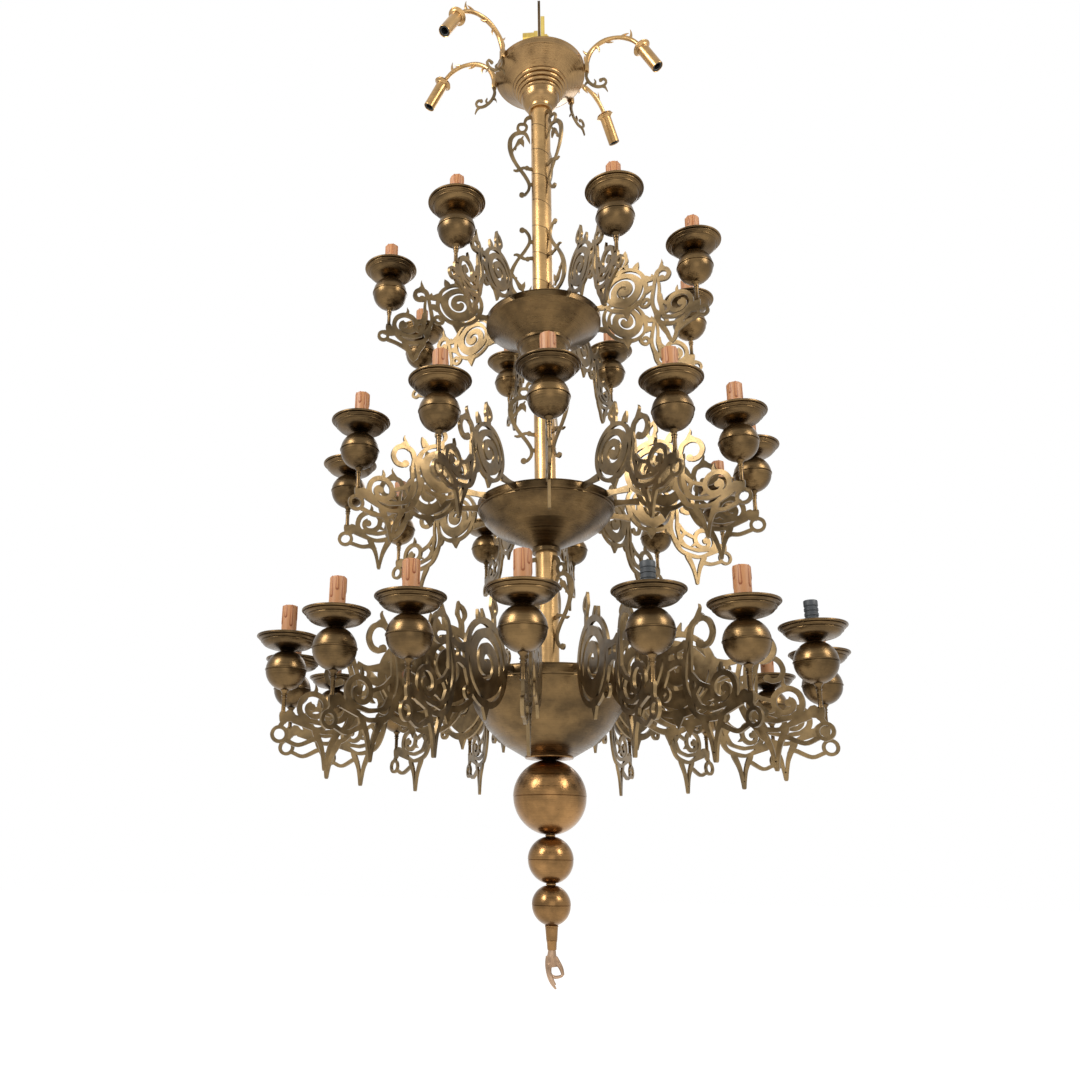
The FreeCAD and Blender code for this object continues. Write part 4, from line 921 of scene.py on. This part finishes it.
for start, middle, end in THORNS:
    twig(branches, [(start[0], 0, start[1], 4.2), (middle[0], 0, middle[1], 2.8), (end[0], 0, end[1], 0.5)])
foot = bmesh.ops.create_cube(branches, size=MM)["verts"]
bmesh.ops.scale(branches, verts=foot, vec=(9.8, 12, 22))
bmesh.ops.translate(branches, verts=foot, vec=(FOOT_OUT * MM, 0, (FOOT_BOTTOM + 11) * MM))
foot_edges = {edge for corner in foot for edge in corner.link_edges}
bmesh.ops.bevel(branches, geom=list(foot_edges), offset=1.5 * MM, segments=2, affect="EDGES", profile=0.5,
                material=-1)
round_the_lamp("spot_branches", branches, "brushed_brass", "spot_arms")

# %% Tails under the branches
TAIL_LINES = (
    ((0, 0, 7), (-1, -16, 6.5), (7, -34, 6), (22, -46, 6), (36, -46, 5), (42.5, -37, 5), (38, -28, 5),
     (30, -29, 5.5)),
    ((33, -46, 6), (40, -52, 4), (45, -64, 1)),
    ((3, -26, 6), (-4, -34, 3), (-6, -41, 0.5)),
    ((14, -42, 6), (19, -33, 4), (16, -25, 1)),
)
tail = sawn_plate(TAIL_LINES, [(30.5, -29.5, 4)], [], SCROLL_THICKNESS)
bmesh.ops.translate(tail, verts=tail.verts, vec=(FOOT_OUT * MM, 0, FOOT_BOTTOM * MM))
round_the_lamp("spot_tails_sawn", tail, "sawn_brass", "spot_tails")

# %% Rings, cups and black lampholders
CUP_ROOT = (227.4, -163)
CUP_PLACE = Matrix.Translation((CUP_ROOT[0] * MM, 0, CUP_ROOT[1] * MM))
CUP_PLACE @= Matrix.Rotation(math.radians(90 + DIP), 4, "Y")
for name, corners, finish, node_name in (
    ("spot_rings_turned", [
        (0, -1), (7, -1), (7.5, 0), (8, 1.5), (15, 2.5, 30), (17.5, 4), (17.5, 5, 90), (15, 5.6), (14.5, 6.2),
        (18.5, 7), (20, 8), (20, 9.2, 90), (18, 10), (15, 12, -25), (14, 14), (0, 14)], "brushed_brass",
        "spot_collars"),
    ("spot_cups_drawn", [
        (11.5, 14), (13, 14), (13, 17), (12.6, 17.5), (13, 18), (13, 76.5), (12.4, 78, 60), (11.5, 77)],
     "brushed_brass", "spot_sleeves"),
    ("spot_lampholders_moulded", [
        (0, 14.2), (11, 14.2), (11, 75.5), (10.2, 76.5), (8.3, 76.5), (7.5, 75.5), (7.5, 52.5), (0, 52.5)],
     "black_lampholder", "spot_lampholders"),
):
    turned = lathe(corners, sides=40, closed=name == "spot_cups_drawn")
    bmesh.ops.transform(turned, matrix=CUP_PLACE, verts=turned.verts)
    round_the_lamp(name, turned, finish, node_name)

# %% [markdown]
# ## The small hand
#
# The finial ends in a cuff and a cast hand whose thumb and first finger close on a ring,
# with the other fingers pointing down. The cuff is turned. The hand is a bundle of tapering
# bars, one for the palm and one for each finger, melted together by a voxel remesh and
# smoothed, which gives the soft joints of a casting.

# %% Collars and cuff
COLLAR_TOPS = (-1877.5, -1959.1)
for number, top in enumerate(COLLAR_TOPS, 1):
    collar = lathe([(BORE, top - COLLAR_HEIGHT), (7.5, top - COLLAR_HEIGHT), (9, top - 3), (9, top - 1),
                    (7.5, top), (BORE, top)],
                   sides=40, closed=True)
    finish_piece("finial_collar_%d_turned" % number, collar, "finial_brass", ["finial_collar_%d" % number])
CUFF_TOP = -2027.45
CUFF_LENGTH = 40
cuff = lathe([(across, up + CUFF_TOP, *turn) for across, up, *turn in [
    (BORE, -40), (7.4, -40), (8.0, -39), (8.6, -28), (9.5, -25.6), (9.0, -24.9), (9.6, -24.2), (10.6, -10),
    (11.2, -4.5), (10.8, -3.9), (11.5, -3.2), (11.5, -0.8, 60), (10.9, 0), (BORE, 0)]], sides=48, closed=True)
finish_piece("finial_cuff_turned", cuff, "finial_brass", ["finial_cuff"])

# %% Hand
hand = bmesh.new()
for points in (
    ((0, 0, 1, 6.8), (0, 0, -4, 7.2), (-0.5, 0, -12, 8.6), (0.5, 0, -20, 9.4), (1, 0, -27, 7.5)),
    ((-6, 0, -10, 5.0), (-7.5, 0, -20, 5.2), (-7.6, 0.5, -32, 4.0), (-5, 1, -45, 3.4), (1, 1, -56, 2.8),
     (6, 1, -61.5, 1.8)),
    ((-4.5, 3, -22, 4.5), (-6, 4, -34, 3.6), (-3, 4, -47, 3.0), (3, 3.5, -57, 2.2)),
    ((-4.5, -3, -22, 4.5), (-5.5, -4, -33, 3.6), (-1.5, -4, -45, 3.0), (5, -3.5, -55, 2.2)),
    ((5, 0, -12, 5.0), (9.5, 0, -20, 5.2), (14.5, 0, -27, 4.2), (17, 0, -34, 3.6), (18.3, 0, -40, 2.4)),
    ((-6.5, 0, -30, 4.0), (-4, 0, -40, 3.4), (4, 0, -43.5, 3.0), (13, 0, -42, 2.6), (17.5, 0, -40, 2.2)),
):
    twig(hand, points, rounds=12)
bmesh.ops.translate(hand, verts=hand.verts, vec=(0, 0, (CUFF_TOP - CUFF_LENGTH) * MM))
hand_piece = finish_piece("finial_hand_cast", hand, "finial_brass", ["finial_hand"], sharp=180,
                          paint=hand_brass)
melt = hand_piece.modifiers.new("melt", "REMESH")
melt.mode = "VOXEL"
melt.voxel_size = 0.7 * MM
melt.use_smooth_shade = True
soften = hand_piece.modifiers.new("soften", "SMOOTH")
soften.iterations = 4
